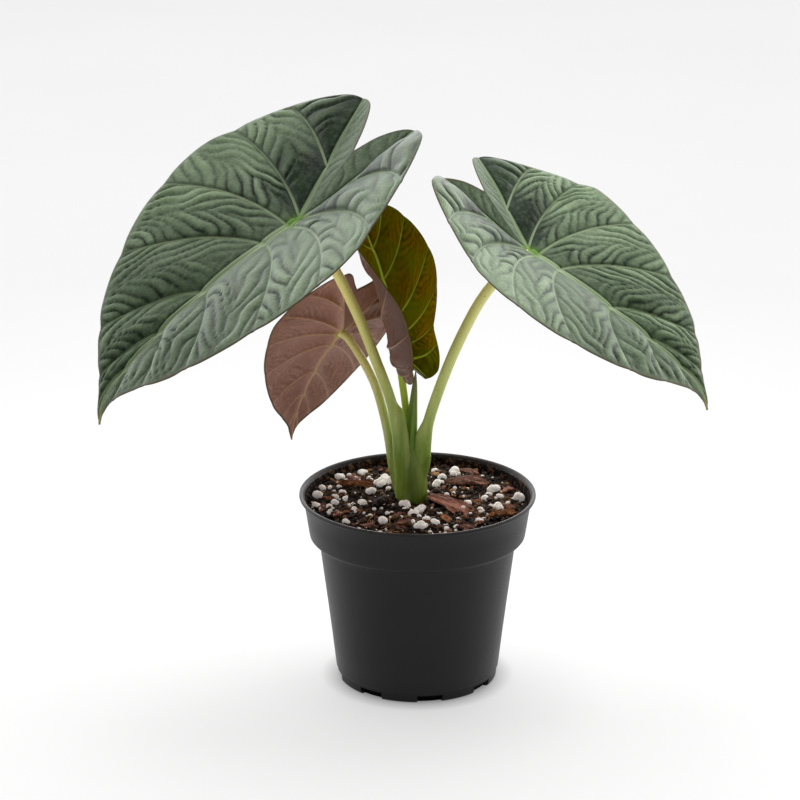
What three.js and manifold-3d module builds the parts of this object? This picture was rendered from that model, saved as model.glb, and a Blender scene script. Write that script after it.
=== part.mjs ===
// A young alocasia with four quilted leaves in a round black nursery pot.
// Millimetres, +Z up. The origin is the middle of the pot's flat underside and -Y is the front.
import * as THREE from 'three';
import { mergeVertices } from 'three/addons/utils/BufferGeometryUtils.js';
import Module from 'manifold-3d';

const kernel = await Module();
kernel.setup();

// Driving sizes: pot
const POT_HEIGHT = 99;
const RIM_RADIUS = 60;
const BAND_TOP_RADIUS = 57.8;
const BAND_BOTTOM_RADIUS = 54.9;
const BAND_BOTTOM_Z = 77.5;
const WALL_TOP_RADIUS = 50;
const WALL_TOP_Z = 74.2;
const FOOT_RADIUS = 40.6;
const FOOT_BAND_Z = 5.2;
const WALL_THICK = 1.6;
const FLOOR_THICK = 4;
const POT_SIDES = 48;
const NOTCHES = 8;
const NOTCH_WIDTH = 13;
const NOTCH_HEIGHT = 2.7;
const NOTCH_FIRST_ANGLE = -81;

// Driving sizes: growing mix
const FIT_GAP = 0.3;
const WALL_GAP = 0.45;
const SOIL_WALL_Z = 92.5;
const SOIL_RISE = 1.8;
const CRUMB_HEIGHT = 0.55;
const SOIL_SIDES = 48;
const SOIL_RINGS = 9;
const STEM_HOLE_RADIUS = 8.9;
const STEM_HOLE_Z = 69;

// Perlite grains: x, y, size, stretch along x
const GRAINS = [
  [-19, 25, 6.2, 1.4],
  [-28.5, 43.5, 5.2, 1],
  [19.3, 43.5, 5.4, 1],
  [12.2, 33, 5.2, 1],
  [9, 20.8, 5.2, 1.1],
  [38.7, 12.6, 5.4, 1.1],
  [51.2, 2.4, 5.6, 1],
  [41.6, -10, 5.2, 1.1],
  [-6.2, -10, 5.4, 1],
  [1.4, -15.5, 5, 1.3],
  [1.5, -38, 5.2, 1.2],
  [-17.8, -33, 5.4, 1],
  [-27.8, -5.8, 5.2, 1],
  [-50.4, 8, 5.6, 1],
];
const GRAIN_FLAT = 0.85;

// Bark chips: x, y, length, width, turn and tilt in degrees
const BARK = [
  [17.5, -10, 29, 12, -40, 9],
  [26.5, 24.5, 21, 10, 18, 6],
  [-18.8, -5.5, 15, 7.2, 76, 8],
  [-31, 22, 17, 7.5, 8, 5],
  [43, -20.5, 14, 6, 35, 5],
];
const BARK_HALF_THICK = 1.9;
const BARK_SECTION = [
  [-1, -0.5], [-0.4, -1], [0.5, -0.9], [1, -0.4],
  [0.95, 0.5], [0.3, 1], [-0.5, 0.9], [-1, 0.5],
];

// Stem of wrapped stalk bases: x, y, z, half width, half depth
const STEM = [
  [-3.1, 3, 70, 4.6, 4.4],
  [-3.1, 3, 74, 7.2, 6.8],
  [-3.1, 3, 84, 8, 7.4],
  [-3.1, 3, 96, 8.1, 7.5],
  [-3.5, 2.8, 106, 8.5, 7.4],
  [-4, 2.4, 116, 8.2, 7],
  [-4.6, 1.8, 125, 7.4, 6.3],
  [-5.6, 1.3, 133, 5.6, 5.2],
  [-6.3, 1.1, 139, 4.3, 4.2],
  [-6.7, 1, 145, 2.3, 2.4],
];
const STEM_SIDES = 20;
const STEM_LOBE = 0.03;

// Leaf stalks and the new leaf's sheath: x, y, z, radius
const STALKS = {
  petiole_1: [
    [-6, 0.5, 100, 3],
    [-8.9, -0.8, 116, 3],
    [-10.6, -2, 133, 2.8],
    [-13.7, -3.7, 150, 2.7],
    [-21, -6, 171.7, 2.65],
    [-28.8, -9.3, 193.8, 2.65],
    [-39.6, -14.6, 219, 2.6],
    [-49.5, -18.2, 236.5, 2.6],
    [-59.6, -20.9, 247.2, 2.7],
  ],
  petiole_2: [
    [-1, 3, 98, 3.2],
    [3.1, 1.5, 113, 3],
    [4.2, -0.4, 127, 2.9],
    [5.8, -2.2, 139, 2.8],
    [12.4, -5.8, 161, 2.7],
    [20.8, -9.8, 183.5, 2.7],
    [31.2, -14, 205.7, 2.65],
    [42, -16.8, 220.5, 2.6],
    [55.3, -18, 231.2, 2.6],
  ],
  petiole_3: [
    [-9.5, 5.5, 98, 2.2],
    [-12.2, 5.6, 109, 2.3],
    [-15.4, 7.2, 130, 2.3],
    [-19, 9.6, 145, 2.25],
    [-22.6, 12, 155, 2.2],
    [-27.8, 15, 164.6, 2.2],
    [-34.5, 19, 173.9, 2.1],
    [-39.2, 20.8, 177.4, 2],
  ],
  petiole_4: [
    [-3.6, 4.5, 112, 2],
    [-4.8, 4.2, 130, 1.9],
    [-6.1, 3.4, 144, 1.85],
    [-8.6, 2.5, 163.5, 1.85],
    [-10.2, 2.2, 171, 1.75],
    [-10.9, 2.1, 177, 1.7],
  ],
};
const SPEAR = [
  [-4.2, 1.4, 118, 2.6],
  [-3.2, 1, 130, 2.3],
  [-2.1, 0.4, 147.5, 1.75],
  [-1.5, 0.1, 156, 1.45],
  [-1, -0.2, 163.6, 0.3],
];
const STALK_SIDES = 10;
const STALK_CUTS = 3;

// Half outline of a blade from its tip towards its notch, along and across, as parts of its length
const GROWN = [
  [1, 0], [0.946, 0.02], [0.888, 0.05], [0.815, 0.13], [0.695, 0.27], [0.49, 0.425], [0.29, 0.535],
  [0.05, 0.597], [-0.146, 0.553], [-0.334, 0.443], [-0.45, 0.33], [-0.484, 0.24], [-0.475, 0.145],
  [-0.404, 0.06],
];
const YOUNG = [
  [1, 0], [0.95, 0.02], [0.9, 0.06], [0.845, 0.155], [0.735, 0.31], [0.52, 0.475], [0.31, 0.575],
  [0.08, 0.57], [-0.09, 0.51], [-0.24, 0.425], [-0.315, 0.325], [-0.328, 0.245], [-0.315, 0.16],
  [-0.258, 0.08],
];

// Spokes from the midrib to the margin, as parts of their length
const FINE_SPOKES = [0, 0.045, 0.14, 0.3, 0.5, 0.7, 0.87, 1];
const COARSE_SPOKES = [0, 0.07, 0.25, 0.5, 0.78, 1];

// Blades: angles in degrees, and pairs are [right half, left half] seen from above with the tip ahead
const BLADES = {
  blade_1: {
    at: [-59.8, -21, 248.1], length: 142, heading: 204, slope: 27.5, roll: -2,
    bend: 20, hook: 41, lift: 10, sweep: -1, twist: 3.5, crest: 0.21, rib: [0.5, 0.352],
    fold: [18, 14], open: [-2.5, -11.5], lobe: [-1, 7.5], curl: [-9.5, -17.5],
    outline: GROWN, notch: -0.31, width: [1.01, 1.03], shoulder: [0.01, -0.05], reach: [1.01, 1.03],
    quilt: 1, spokes: FINE_SPOKES,
  },
  blade_2: {
    at: [55.5, -18, 231.8], length: 119, heading: -23.3, slope: 26.5, roll: 0.3,
    bend: 14.5, hook: 40, lift: 14, sweep: -1.7, twist: -4.8, crest: 0.2, rib: [0.27, 0.545],
    fold: [12.4, 15.6], open: [-12.8, -3.9], lobe: [3.5, -14.7], curl: [-17, -8.7],
    outline: GROWN, notch: -0.31, width: [1.01, 0.98], shoulder: [-0.02, 0.055], reach: [0.99, 0.95],
    quilt: 1, spokes: FINE_SPOKES,
  },
  blade_3: {
    at: [-39.7, 22, 177.6], length: 70, heading: 148, slope: 50.2, roll: 11,
    bend: 29.4, hook: 17.5, lift: 8.6, sweep: 1, twist: 1, crest: 0.19, rib: [0.49, 0.51],
    fold: [0.5, 14.5], open: [-13.4, -10.3], lobe: [-1, 5.7], curl: [-8.7, -4.6],
    outline: GROWN, notch: -0.36, width: [0.96, 0.975], shoulder: [-0.05, 0.07], reach: [1.03, 1.08],
    quilt: 0.6, spokes: COARSE_SPOKES,
  },
  blade_4: {
    at: [-10.9, 2, 178], length: 82.8, heading: 162, slope: -83.5, roll: 3.6,
    bend: 25.9, hook: 5, lift: 25, sweep: 1.3, twist: 7, crest: 0.27, rib: [0.48, 0.44],
    fold: [15.8, -8.3], open: [11, -2.6], lobe: [0.8, 29], curl: [-15, 126],
    outline: YOUNG, notch: -0.19, width: [1, 1], shoulder: [0, 0], reach: [1, 0.7],
    quilt: 0.35, spokes: COARSE_SPOKES,
  },
};

// Main side veins: where each leaves the midrib or lobe rib (0 tip, 1 stalk joint, 2 lobe end)
// and where it meets the margin (1 tip, 0 stalk joint, -1 lobe end)
const VEINS = [
  [0, 1],
  [0.23, 0.9],
  [0.4, 0.81],
  [0.6, 0.68],
  [0.865, 0.44],
  [0.97, 0.18],
  [1.04, -0.21],
  [1.45, -0.62],
];
const PANEL_CUTS = 4;
const SPOKE_BOW = 0.09;
const NOTCH_PLACE = 0.6;
const INNER_CUTS = 3;
const BLADE_THICK = 0.8;
const MIDRIB_THICK = 1.7;
const RIB_HALF_WIDTH = 1.9;
const QUILT_RISE = 0.115;
const QUILT_WIDTH_LIMIT = 0.2;

const rad = (degrees) => degrees * Math.PI / 180;
const clamp = (value, low, high) => Math.min(high, Math.max(low, value));
const smooth = (t) => clamp(t, 0, 1) ** 2 * (3 - 2 * clamp(t, 0, 1));
const mix = (from, to, t) => from.map((value, i) => value + t * (to[i] - value));

function makeRandom(seed) {
  let state = seed;
  return () => {
    state = (state * 1664525 + 1013904223) % 4294967296;
    return state / 4294967296;
  };
}

// Value at x in a table of [x, value] rows
function interpolate(x, table) {
  for (let i = 1; i < table.length; i += 1) {
    if (x <= table[i][0]) {
      const t = (x - table[i - 1][0]) / (table[i][0] - table[i - 1][0]);
      return table[i - 1][1] + t * (table[i][1] - table[i - 1][1]);
    }
  }
  return table[table.length - 1][1];
}

// Smooth curve through points of any dimension
function smoothCurve(points, cuts) {
  const last = points.length - 1;
  const all = [mix(points[1], points[0], 2), ...points, mix(points[last - 1], points[last], 2)];
  const curve = [];
  for (let k = 1; k < all.length - 2; k += 1) {
    for (let j = 0; j < cuts; j += 1) {
      const t = j / cuts;
      curve.push(all[k].map((b, i) => {
        const [a, c, d] = [all[k - 1][i], all[k + 1][i], all[k + 2][i]];
        const square = (2 * a - 5 * b + 4 * c - d) * t * t;
        return 0.5 * (2 * b + (c - a) * t + square + (3 * b - 3 * c + d - a) * t ** 3);
      }));
    }
  }
  curve.push(points[last]);
  return curve;
}

// Closed solid, wound so that its faces point out
function solidOf(vertices, triangles) {
  const mesh = new kernel.Mesh({
    numProp: 3,
    vertProperties: new Float32Array(vertices.flat()),
    triVerts: new Uint32Array(triangles.flat()),
  });
  mesh.merge();
  const solid = new kernel.Manifold(mesh);
  return solid.volume() < 0 ? solidOf(vertices, triangles.map(([a, b, c]) => [a, c, b])) : solid;
}

// Solid from a stock shape
function solidOfGeometry(geometry, reshape = (point) => point) {
  geometry.deleteAttribute('uv');
  geometry.deleteAttribute('normal');
  const joined = mergeVertices(geometry, 1e-4);
  const position = joined.attributes.position;
  const vertices = [];
  for (let i = 0; i < position.count; i += 1) {
    vertices.push(reshape([position.getX(i), position.getY(i), position.getZ(i)]));
  }
  const triangles = [];
  for (let i = 0; i < joined.index.count; i += 3) {
    const triangle = [0, 1, 2].map((k) => joined.index.getX(i + k));
    if (new Set(triangle).size === 3) {
      triangles.push(triangle);
    }
  }
  return solidOf(vertices, triangles);
}

// Largest body left after a cut
function mainBody(solid) {
  return solid.decompose().reduce((best, piece) => (piece.volume() > best.volume() ? piece : best));
}

function meshOf(solid, name, look) {
  const data = solid.getMesh();
  const geometry = new THREE.BufferGeometry();
  geometry.setAttribute('position', new THREE.BufferAttribute(new Float32Array(data.vertProperties), 3));
  geometry.setIndex(new THREE.BufferAttribute(new Uint32Array(data.triVerts), 1));
  geometry.computeVertexNormals();
  const mesh = new THREE.Mesh(geometry, look);
  mesh.name = name;
  return mesh;
}

// Closed loft through rings that all have the same number of points
function loft(rings) {
  const sides = rings[0].length;
  const vertices = rings.flat();
  const triangles = [];
  for (let k = 0; k < rings.length - 1; k += 1) {
    for (let i = 0; i < sides; i += 1) {
      const [a, b] = [k * sides + i, k * sides + (i + 1) % sides];
      triangles.push([a, b, b + sides], [a, b + sides, a + sides]);
    }
  }
  const middle = (ring) => [0, 1, 2].map((c) => ring.reduce((sum, point) => sum + point[c], 0) / sides);
  const [bottom, top] = [vertices.length, vertices.length + 1];
  const lastRing = (rings.length - 1) * sides;
  vertices.push(middle(rings[0]), middle(rings[rings.length - 1]));
  for (let i = 0; i < sides; i += 1) {
    const next = (i + 1) % sides;
    triangles.push([bottom, next, i], [top, lastRing + i, lastRing + next]);
  }
  return solidOf(vertices, triangles);
}

// Round stalk along points of x, y, z, radius
function stalk(points, grow = 0) {
  const path = smoothCurve(points, STALK_CUTS);
  const at = path.map(([x, y, z]) => new THREE.Vector3(x, y, z));
  let across = new THREE.Vector3(1, 0, 0);
  const rings = path.map(([, , , radius], k) => {
    const along = at[Math.min(k + 1, at.length - 1)].clone().sub(at[Math.max(k - 1, 0)]).normalize();
    across = across.clone().addScaledVector(along, -across.dot(along)).normalize();
    const up = along.clone().cross(across);
    return Array.from({ length: STALK_SIDES }, (_, i) => {
      const turn = 2 * Math.PI * i / STALK_SIDES;
      const [x, y] = [(radius + grow) * Math.cos(turn), (radius + grow) * Math.sin(turn)];
      return at[k].clone().addScaledVector(across, x).addScaledVector(up, y).toArray();
    });
  });
  return loft(rings);
}

function stemBody(grow = 0) {
  const path = smoothCurve(STEM, 2);
  const rings = path.map(([x, y, z, width, depth], k) => {
    const end = (k === path.length - 1) - (k === 0);
    return Array.from({ length: STEM_SIDES }, (_, i) => {
      const turn = 2 * Math.PI * i / STEM_SIDES;
      const lobed = 1 + STEM_LOBE * Math.cos(3 * turn + 0.6);
      const [w, d] = [width * lobed + grow, depth * lobed + grow];
      return [x + w * Math.cos(turn), y + d * Math.sin(turn), z + end * grow];
    });
  });
  return loft(rings);
}

// Frames along a blade's bent midrib, ahead of its stalk joint and behind it
function midribFrames(blade) {
  const [heading, slope, roll] = [rad(blade.heading), rad(blade.slope), rad(blade.roll)];
  const [cosH, sinH, cosS, sinS] = [Math.cos(heading), Math.sin(heading), Math.cos(slope), Math.sin(slope)];
  const along = new THREE.Vector3(cosH * cosS, sinH * cosS, -sinS);
  const level = new THREE.Vector3(cosH * sinS, sinH * sinS, cosS);
  const levelSide = along.clone().cross(level);
  const up = level.clone().multiplyScalar(Math.cos(roll)).addScaledVector(levelSide, Math.sin(roll));
  const side = along.clone().cross(up);
  const frameAt = (u) => {
    const hooked = rad(blade.bend) * u + rad(blade.hook) * Math.max(0, (u - 0.75) / 0.25) ** 2;
    const dip = u > 0 ? hooked : rad(blade.lift) * smooth(-u / 0.14);
    const [turn, twist] = [rad(blade.sweep) * u, rad(blade.twist) * u];
    const forward = along.clone().multiplyScalar(Math.cos(dip) * Math.cos(turn))
      .addScaledVector(side, Math.cos(dip) * Math.sin(turn)).addScaledVector(up, -Math.sin(dip));
    const flat = side.clone().multiplyScalar(Math.cos(turn)).addScaledVector(along, -Math.sin(turn));
    const across = flat.clone().multiplyScalar(Math.cos(twist))
      .addScaledVector(flat.clone().cross(forward), Math.sin(twist));
    return { u, forward, across, normal: across.clone().cross(forward) };
  };
  const steps = 50;
  const march = (end) => {
    const frames = [{ ...frameAt(0), at: new THREE.Vector3() }];
    for (let i = 1; i <= steps; i += 1) {
      const next = frameAt(end * i / steps);
      const before = frames[i - 1];
      const half = (next.u - before.u) * blade.length / 2;
      next.at = before.at.clone().addScaledVector(before.forward, half).addScaledVector(next.forward, half);
      frames.push(next);
    }
    return frames;
  };
  return { ahead: march(1.1), behind: march(-0.8), steps };
}

// Point of the folded and curled sheet at a along the midrib and b to the right of it
function sheetPoint(blade, frames, a, b) {
  const u = a / blade.length;
  const list = u >= 0 ? frames.ahead : frames.behind;
  const place = clamp(u / list[frames.steps].u, 0, 0.9999) * frames.steps;
  const k = Math.floor(place);
  const blend = (key) => list[k][key].clone().lerp(list[k + 1][key], place - k);
  const across = blend('across').normalize();
  const normal = blend('normal');
  normal.addScaledVector(across, -normal.dot(across)).normalize();
  const half = b >= 0 ? 0 : 1;
  const back = Math.max(0, -u);
  const away = Math.abs(b);
  const fold = rad(blade.fold[half] + blade.open[half] * Math.max(0, u) + blade.lobe[half] * back);
  const bow = rad(blade.curl[half]) / blade.length;
  const out = (Math.sin(fold + bow * away) - Math.sin(fold)) / bow;
  const rise = (Math.cos(fold) - Math.cos(fold + bow * away)) / bow;
  const saddle = blade.crest * Math.max(0, back * blade.length - away / blade.rib[half]);
  return blend('at').addScaledVector(across, b >= 0 ? out : -out).addScaledVector(normal, rise + saddle)
    .add(new THREE.Vector3(...blade.at));
}

function sheetNormal(blade, frames, a, b) {
  const step = 1.4;
  const da = sheetPoint(blade, frames, a + step, b).sub(sheetPoint(blade, frames, a - step, b));
  const db = sheetPoint(blade, frames, a, b + step).sub(sheetPoint(blade, frames, a, b - step));
  return db.cross(da).normalize();
}

// Outline of one half with its own width, shoulder and lobe reach, cut where the lobe rib meets it
function halfOutline(blade, half) {
  const [rib, width, shoulder, reach] = ['rib', 'width', 'shoulder', 'reach'].map((key) => blade[key][half]);
  const shape = ([u, v]) => [
    u < 0 ? u * (1 + (reach - 1) * Math.min(1, v / 0.2)) : u,
    v * width * (1 + shoulder * Math.exp(-(((u + 0.12) / 0.2) ** 2))),
  ];
  const line = smoothCurve([...blade.outline, [blade.notch, 0]], 10).map(shape);
  const cut = line.findIndex(([u, v]) => u < 0 && v / -u < rib);
  const excess = ([u, v]) => v + rib * u;
  const [before, after] = [line[cut - 1], line[cut]];
  const end = mix(before, after, excess(before) / (excess(before) - excess(after)));
  return { outer: [...line.slice(0, cut), end], inner: [end, ...line.slice(cut)], end };
}

function pointAlong(line, part) {
  const lengths = [0];
  for (let i = 1; i < line.length; i += 1) {
    lengths.push(lengths[i - 1] + Math.hypot(line[i][0] - line[i - 1][0], line[i][1] - line[i - 1][1]));
  }
  const goal = part * lengths[lengths.length - 1];
  return line[0].map((_, c) => interpolate(goal, lengths.map((length, i) => [length, line[i][c]])));
}

// Part of the way along a falling outline where it passes u
function partWhere(line, u) {
  let [low, high] = [0, 1];
  for (let i = 0; i < 30; i += 1) {
    const middle = (low + high) / 2;
    [low, high] = pointAlong(line, middle)[0] > u ? [middle, high] : [low, middle];
  }
  return low;
}

// Places along midrib and lobe rib, each with its phase between two side veins
function veinStations() {
  const starts = [...VEINS.map(([start]) => start), 2];
  const stations = [];
  for (let k = 0; k < VEINS.length; k += 1) {
    const [from, to] = [starts[k], starts[k + 1]];
    const middle = from < 1 && to > 1 ? 1 : (from + to) / 2;
    for (let j = 0; j < PANEL_CUTS; j += 1) {
      const phase = j / PANEL_CUTS;
      const place = interpolate(phase, [[0, from], [0.5, middle], [1, to]]);
      stations.push({ place, phase, width: Math.min(to - from, QUILT_WIDTH_LIMIT) });
    }
  }
  stations.push({ place: 2, phase: 1, width: 0 });
  return stations;
}

function ribHeight(away, taper) {
  return MIDRIB_THICK * taper * Math.exp(-((away / RIB_HALF_WIDTH) ** 2));
}

// Spoke along a side vein: quilting between the veins, rib under the midrib
function spokeRow(blade, station, start, stop) {
  const { place, phase, width } = station;
  const reach = Math.hypot(stop[0] - start[0], stop[1] - start[1]);
  const control = [(start[0] + stop[0]) / 2 - SPOKE_BOW * reach, (start[1] + stop[1]) / 2];
  const swell = Math.sin(Math.PI * phase) - 0.35 * Math.exp(-(((phase - 0.5) / 0.1) ** 2));
  const height = QUILT_RISE * blade.quilt * width * blade.length * swell * Math.min(1, reach / 0.3);
  const taper = place <= 1 ? 0.35 + 0.65 * Math.min(1, place / 0.7) : 1 - 0.6 * (place - 1);
  return blade.spokes.map((w) => {
    const [a, b] = mix(mix(start, control, w), mix(control, stop, w), w);
    const rise = w < 1 && place > 0 ? height * Math.sin(Math.PI * w ** 0.75) ** 0.8 : 0;
    return { a, b, rise, thick: BLADE_THICK + ribHeight(w * reach * blade.length, taper) };
  });
}

// Row between the lobe rib and the ridge that runs to the notch
function innerRow(blade, place, start, stop) {
  const reach = Math.hypot(stop[0] - start[0], stop[1] - start[1]);
  return Array.from({ length: INNER_CUTS + 1 }, (_, j) => {
    const w = j / INNER_CUTS;
    const [a, b] = mix(start, stop, w);
    return { a, b, rise: 0, thick: BLADE_THICK + ribHeight(w * reach * blade.length, 1 - 0.6 * (place - 1)) };
  });
}

// Flat net of one blade: its rows follow the side veins, so valleys and swells fall on its edges
function bladeNet(blade) {
  const points = [];
  const triangles = [];
  const numberAt = new Map();
  const put = ({ a, b, rise, thick }, sign) => {
    const point = { a: a * blade.length, b: sign * b * blade.length, rise, thick };
    const key = `${Math.round(point.a * 2000)},${Math.round(point.b * 2000)}`;
    if (!numberAt.has(key)) {
      numberAt.set(key, points.length);
      points.push(point);
    }
    return numberAt.get(key);
  };
  const addTriangle = (triangle) => {
    const [x, y, z] = triangle.map((n) => points[n]);
    const area = (y.a - x.a) * (z.b - x.b) - (y.b - x.b) * (z.a - x.a);
    if (Math.abs(area) > 1e-4) {
      triangles.push(area < 0 ? triangle : [triangle[0], triangle[2], triangle[1]]);
    }
  };
  const addRows = (rows) => {
    for (let i = 0; i < rows.length - 1; i += 1) {
      for (let j = 0; j < rows[0].length - 1; j += 1) {
        const [p, q, r, s] = [rows[i][j], rows[i + 1][j], rows[i + 1][j + 1], rows[i][j + 1]];
        addTriangle([p, q, r]);
        addTriangle([p, r, s]);
      }
    }
  };
  const stations = veinStations();
  [1, -1].forEach((sign, half) => {
    const { outer, inner, end } = halfOutline(blade, half);
    const margin = VEINS.slice(1).map(([start, u]) => [start, partWhere(outer, u < 0 ? -u * end[0] : u)]);
    margin.unshift([0, 0]);
    margin.push([2, 1]);
    const spokes = stations.map((station) => {
      const { place } = station;
      const start = place <= 1 ? [1 - place, 0] : mix([0, 0], end, place - 1);
      const stop = pointAlong(outer, interpolate(place, margin));
      return spokeRow(blade, station, start, stop).map((point) => put(point, sign));
    });
    addRows(spokes);
    const back = stations.filter(({ place }) => place >= 1).map(({ place }) => {
      const t = place - 1;
      const onNotch = (t - NOTCH_PLACE) / (1 - NOTCH_PLACE);
      const stop = onNotch <= 0 ? [blade.notch * t / NOTCH_PLACE, 0] : pointAlong(inner, 1 - onNotch);
      return innerRow(blade, place, mix([0, 0], end, t), stop).map((point) => put(point, sign));
    });
    addRows(back);
  });
  return { points, triangles };
}

// Blade of even thickness with ribs below, closed along its margin
function bladeSolid(blade, grow = 0) {
  const { points, triangles } = bladeNet(blade);
  const frames = midribFrames(blade);
  const top = [];
  const under = [];
  points.forEach(({ a, b, rise, thick }) => {
    const at = sheetPoint(blade, frames, a, b);
    const normal = sheetNormal(blade, frames, a, b);
    top.push(at.clone().addScaledVector(normal, rise).toArray());
    under.push(at.clone().addScaledVector(normal, rise - thick - grow).toArray());
  });
  const count = points.length;
  const faces = [...triangles];
  const edges = new Map();
  for (const [x, y, z] of triangles) {
    faces.push([count + x, count + z, count + y]);
    for (const [from, to] of [[x, y], [y, z], [z, x]]) {
      edges.set(`${from},${to}`, [from, to]);
    }
  }
  for (const [from, to] of edges.values()) {
    if (!edges.has(`${to},${from}`)) {
      faces.push([to, from, count + from], [to, count + from, count + to]);
    }
  }
  return solidOf([...top, ...under], faces);
}

// Inside radii of the pot, from its floor up
const POT_INSIDE = [
  [FLOOR_THICK, FOOT_RADIUS - WALL_THICK - 2],
  [FLOOR_THICK + 1.5, FOOT_RADIUS - WALL_THICK + 0.2],
  [WALL_TOP_Z - 0.2, WALL_TOP_RADIUS - WALL_THICK],
  [BAND_BOTTOM_Z + 2, BAND_BOTTOM_RADIUS - WALL_THICK - 0.4],
  [POT_HEIGHT - 3.5, BAND_TOP_RADIUS - WALL_THICK - 0.2],
];

function drainNotch(angle) {
  const box = new THREE.BoxGeometry(12, NOTCH_WIDTH, 2 * NOTCH_HEIGHT);
  box.translate(FOOT_RADIUS, 0, 0);
  box.rotateZ(angle);
  return solidOfGeometry(box);
}

// Pot: one closed turned profile, then its drain notches
function potBody() {
  const outside = [
    [0, 0],
    [20, 0],
    [36, 0],
    [FOOT_RADIUS - 1.6, 0],
    [FOOT_RADIUS, 1.4],
    [FOOT_RADIUS + 0.2, FOOT_BAND_Z],
    [FOOT_RADIUS + 0.9, FOOT_BAND_Z + 1],
    [45.6, 40],
    [WALL_TOP_RADIUS, WALL_TOP_Z],
    [BAND_BOTTOM_RADIUS - 1.4, BAND_BOTTOM_Z - 1.2],
    [BAND_BOTTOM_RADIUS, BAND_BOTTOM_Z + 0.6],
    [BAND_TOP_RADIUS, POT_HEIGHT - 3],
    [RIM_RADIUS - 0.5, POT_HEIGHT - 1.9],
    [RIM_RADIUS, POT_HEIGHT - 1],
    [RIM_RADIUS - 0.6, POT_HEIGHT],
    [RIM_RADIUS - 2, POT_HEIGHT - 0.4],
  ];
  const inside = POT_INSIDE.map(([z, radius]) => [radius, z]).reverse();
  const profile = [...outside, ...inside, [18, FLOOR_THICK], [0, FLOOR_THICK]];
  const turned = new THREE.LatheGeometry(profile.map(([r, z]) => new THREE.Vector2(r, z)), POT_SIDES);
  turned.rotateX(Math.PI / 2);
  let body = solidOfGeometry(turned);
  for (let k = 0; k < NOTCHES; k += 1) {
    body = body.subtract(drainNotch(rad(NOTCH_FIRST_ANGLE + 360 * k / NOTCHES)));
  }
  return body;
}

// Growing mix: crumbly top, side that follows the pot, plain hole for the stem
function soilHeight(x, y) {
  const away = Math.hypot(x, y) / RIM_RADIUS;
  const crumbs = Math.sin(x * 0.51 + 1.3) * Math.cos(y * 0.47 - 0.4) + 0.6 * Math.sin(x * 0.93 - y * 0.71)
    + 0.5 * Math.cos(x * 1.37 + y * 1.11 + 2);
  return SOIL_WALL_Z + SOIL_RISE * (1 - away * away) + CRUMB_HEIGHT * crumbs;
}

function soilRing(radius, x, y, height) {
  return Array.from({ length: SOIL_SIDES }, (_, i) => {
    const turn = 2 * Math.PI * i / SOIL_SIDES;
    const [px, py] = [x + radius * Math.cos(turn), y + radius * Math.sin(turn)];
    return [px, py, height(px, py)];
  });
}

function soilBody() {
  const [stemX, stemY] = STEM[0];
  const edge = interpolate(SOIL_WALL_Z, POT_INSIDE) - WALL_GAP;
  const rings = [
    soilRing(STEM_HOLE_RADIUS - 2, stemX, stemY, () => STEM_HOLE_Z),
    soilRing(STEM_HOLE_RADIUS, stemX, stemY, () => STEM_HOLE_Z + 2.5),
    soilRing(STEM_HOLE_RADIUS, stemX, stemY, soilHeight),
  ];
  for (let k = 1; k <= SOIL_RINGS; k += 1) {
    const t = k / SOIL_RINGS;
    const radius = STEM_HOLE_RADIUS + (edge - STEM_HOLE_RADIUS) * t;
    rings.push(soilRing(radius, stemX * (1 - t), stemY * (1 - t), soilHeight));
  }
  for (const z of [BAND_BOTTOM_Z + 2, WALL_TOP_Z - 0.2, FLOOR_THICK + 2.5]) {
    rings.push(soilRing(interpolate(z, POT_INSIDE) - WALL_GAP, 0, 0, () => z));
  }
  rings.push(soilRing(POT_INSIDE[0][1] - WALL_GAP, 0, 0, () => FLOOR_THICK + FIT_GAP));
  return loft(rings);
}

function grain([x, y, size, stretch], seed, grow = 0) {
  const random = makeRandom(seed);
  const z = soilHeight(x, y) + 0.25 * size;
  return solidOfGeometry(new THREE.IcosahedronGeometry(1, 1), ([bx, by, bz]) => {
    const radius = size / 2 * (0.88 + 0.24 * random()) + grow;
    return [x + bx * radius * stretch, y + by * radius, z + bz * radius * GRAIN_FLAT];
  });
}

function barkChip([x, y, length, width, turn, tilt], seed, grow = 0) {
  const random = makeRandom(seed);
  const cuts = 6;
  const [c, s] = [Math.cos(rad(turn)), Math.sin(rad(turn))];
  const rings = [];
  for (let k = 0; k <= cuts; k += 1) {
    const t = k / cuts * 2 - 1;
    const half = width / 2 * (1 - 0.55 * t * t) * (0.85 + 0.3 * random()) + grow;
    const thick = BARK_HALF_THICK * (1 - 0.4 * t * t) * (0.9 + 0.2 * random()) + grow;
    const shift = (random() - 0.5) * 0.8;
    const along = t * (length / 2 + grow);
    const z = soilHeight(x, y) + 1.6 + 1.2 * (1 - t * t) - along * Math.sin(rad(tilt));
    rings.push(BARK_SECTION.map(([v, w]) => {
      const across = v * half + shift;
      return [x + along * c - across * s, y + along * s + across * c, z + w * thick];
    }));
  }
  return loft(rings);
}

// Looks
function look(name, color, roughness) {
  const material = new THREE.MeshStandardMaterial({ color, roughness, metalness: 0 });
  material.name = name;
  return material;
}
const POT_LOOK = look('pot_plastic', 0x2b2c2e, 0.5);
const SOIL_LOOK = look('soil', 0x33251c, 0.95);
const GRAIN_LOOK = look('perlite', 0xd9d3c7, 0.9);
const BARK_LOOK = look('bark', 0x6a4231, 0.85);
const STALK_LOOK = look('stalk', 0x8fa553, 0.5);
const GREEN_LOOK = look('leaf', 0x5d7460, 0.55);
const BLADE_LOOKS = {
  blade_1: GREEN_LOOK,
  blade_2: GREEN_LOOK,
  blade_3: look('leaf_underside', 0x6b5150, 0.6),
  blade_4: look('young_leaf', 0x5a4a1c, 0.55),
};

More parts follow.
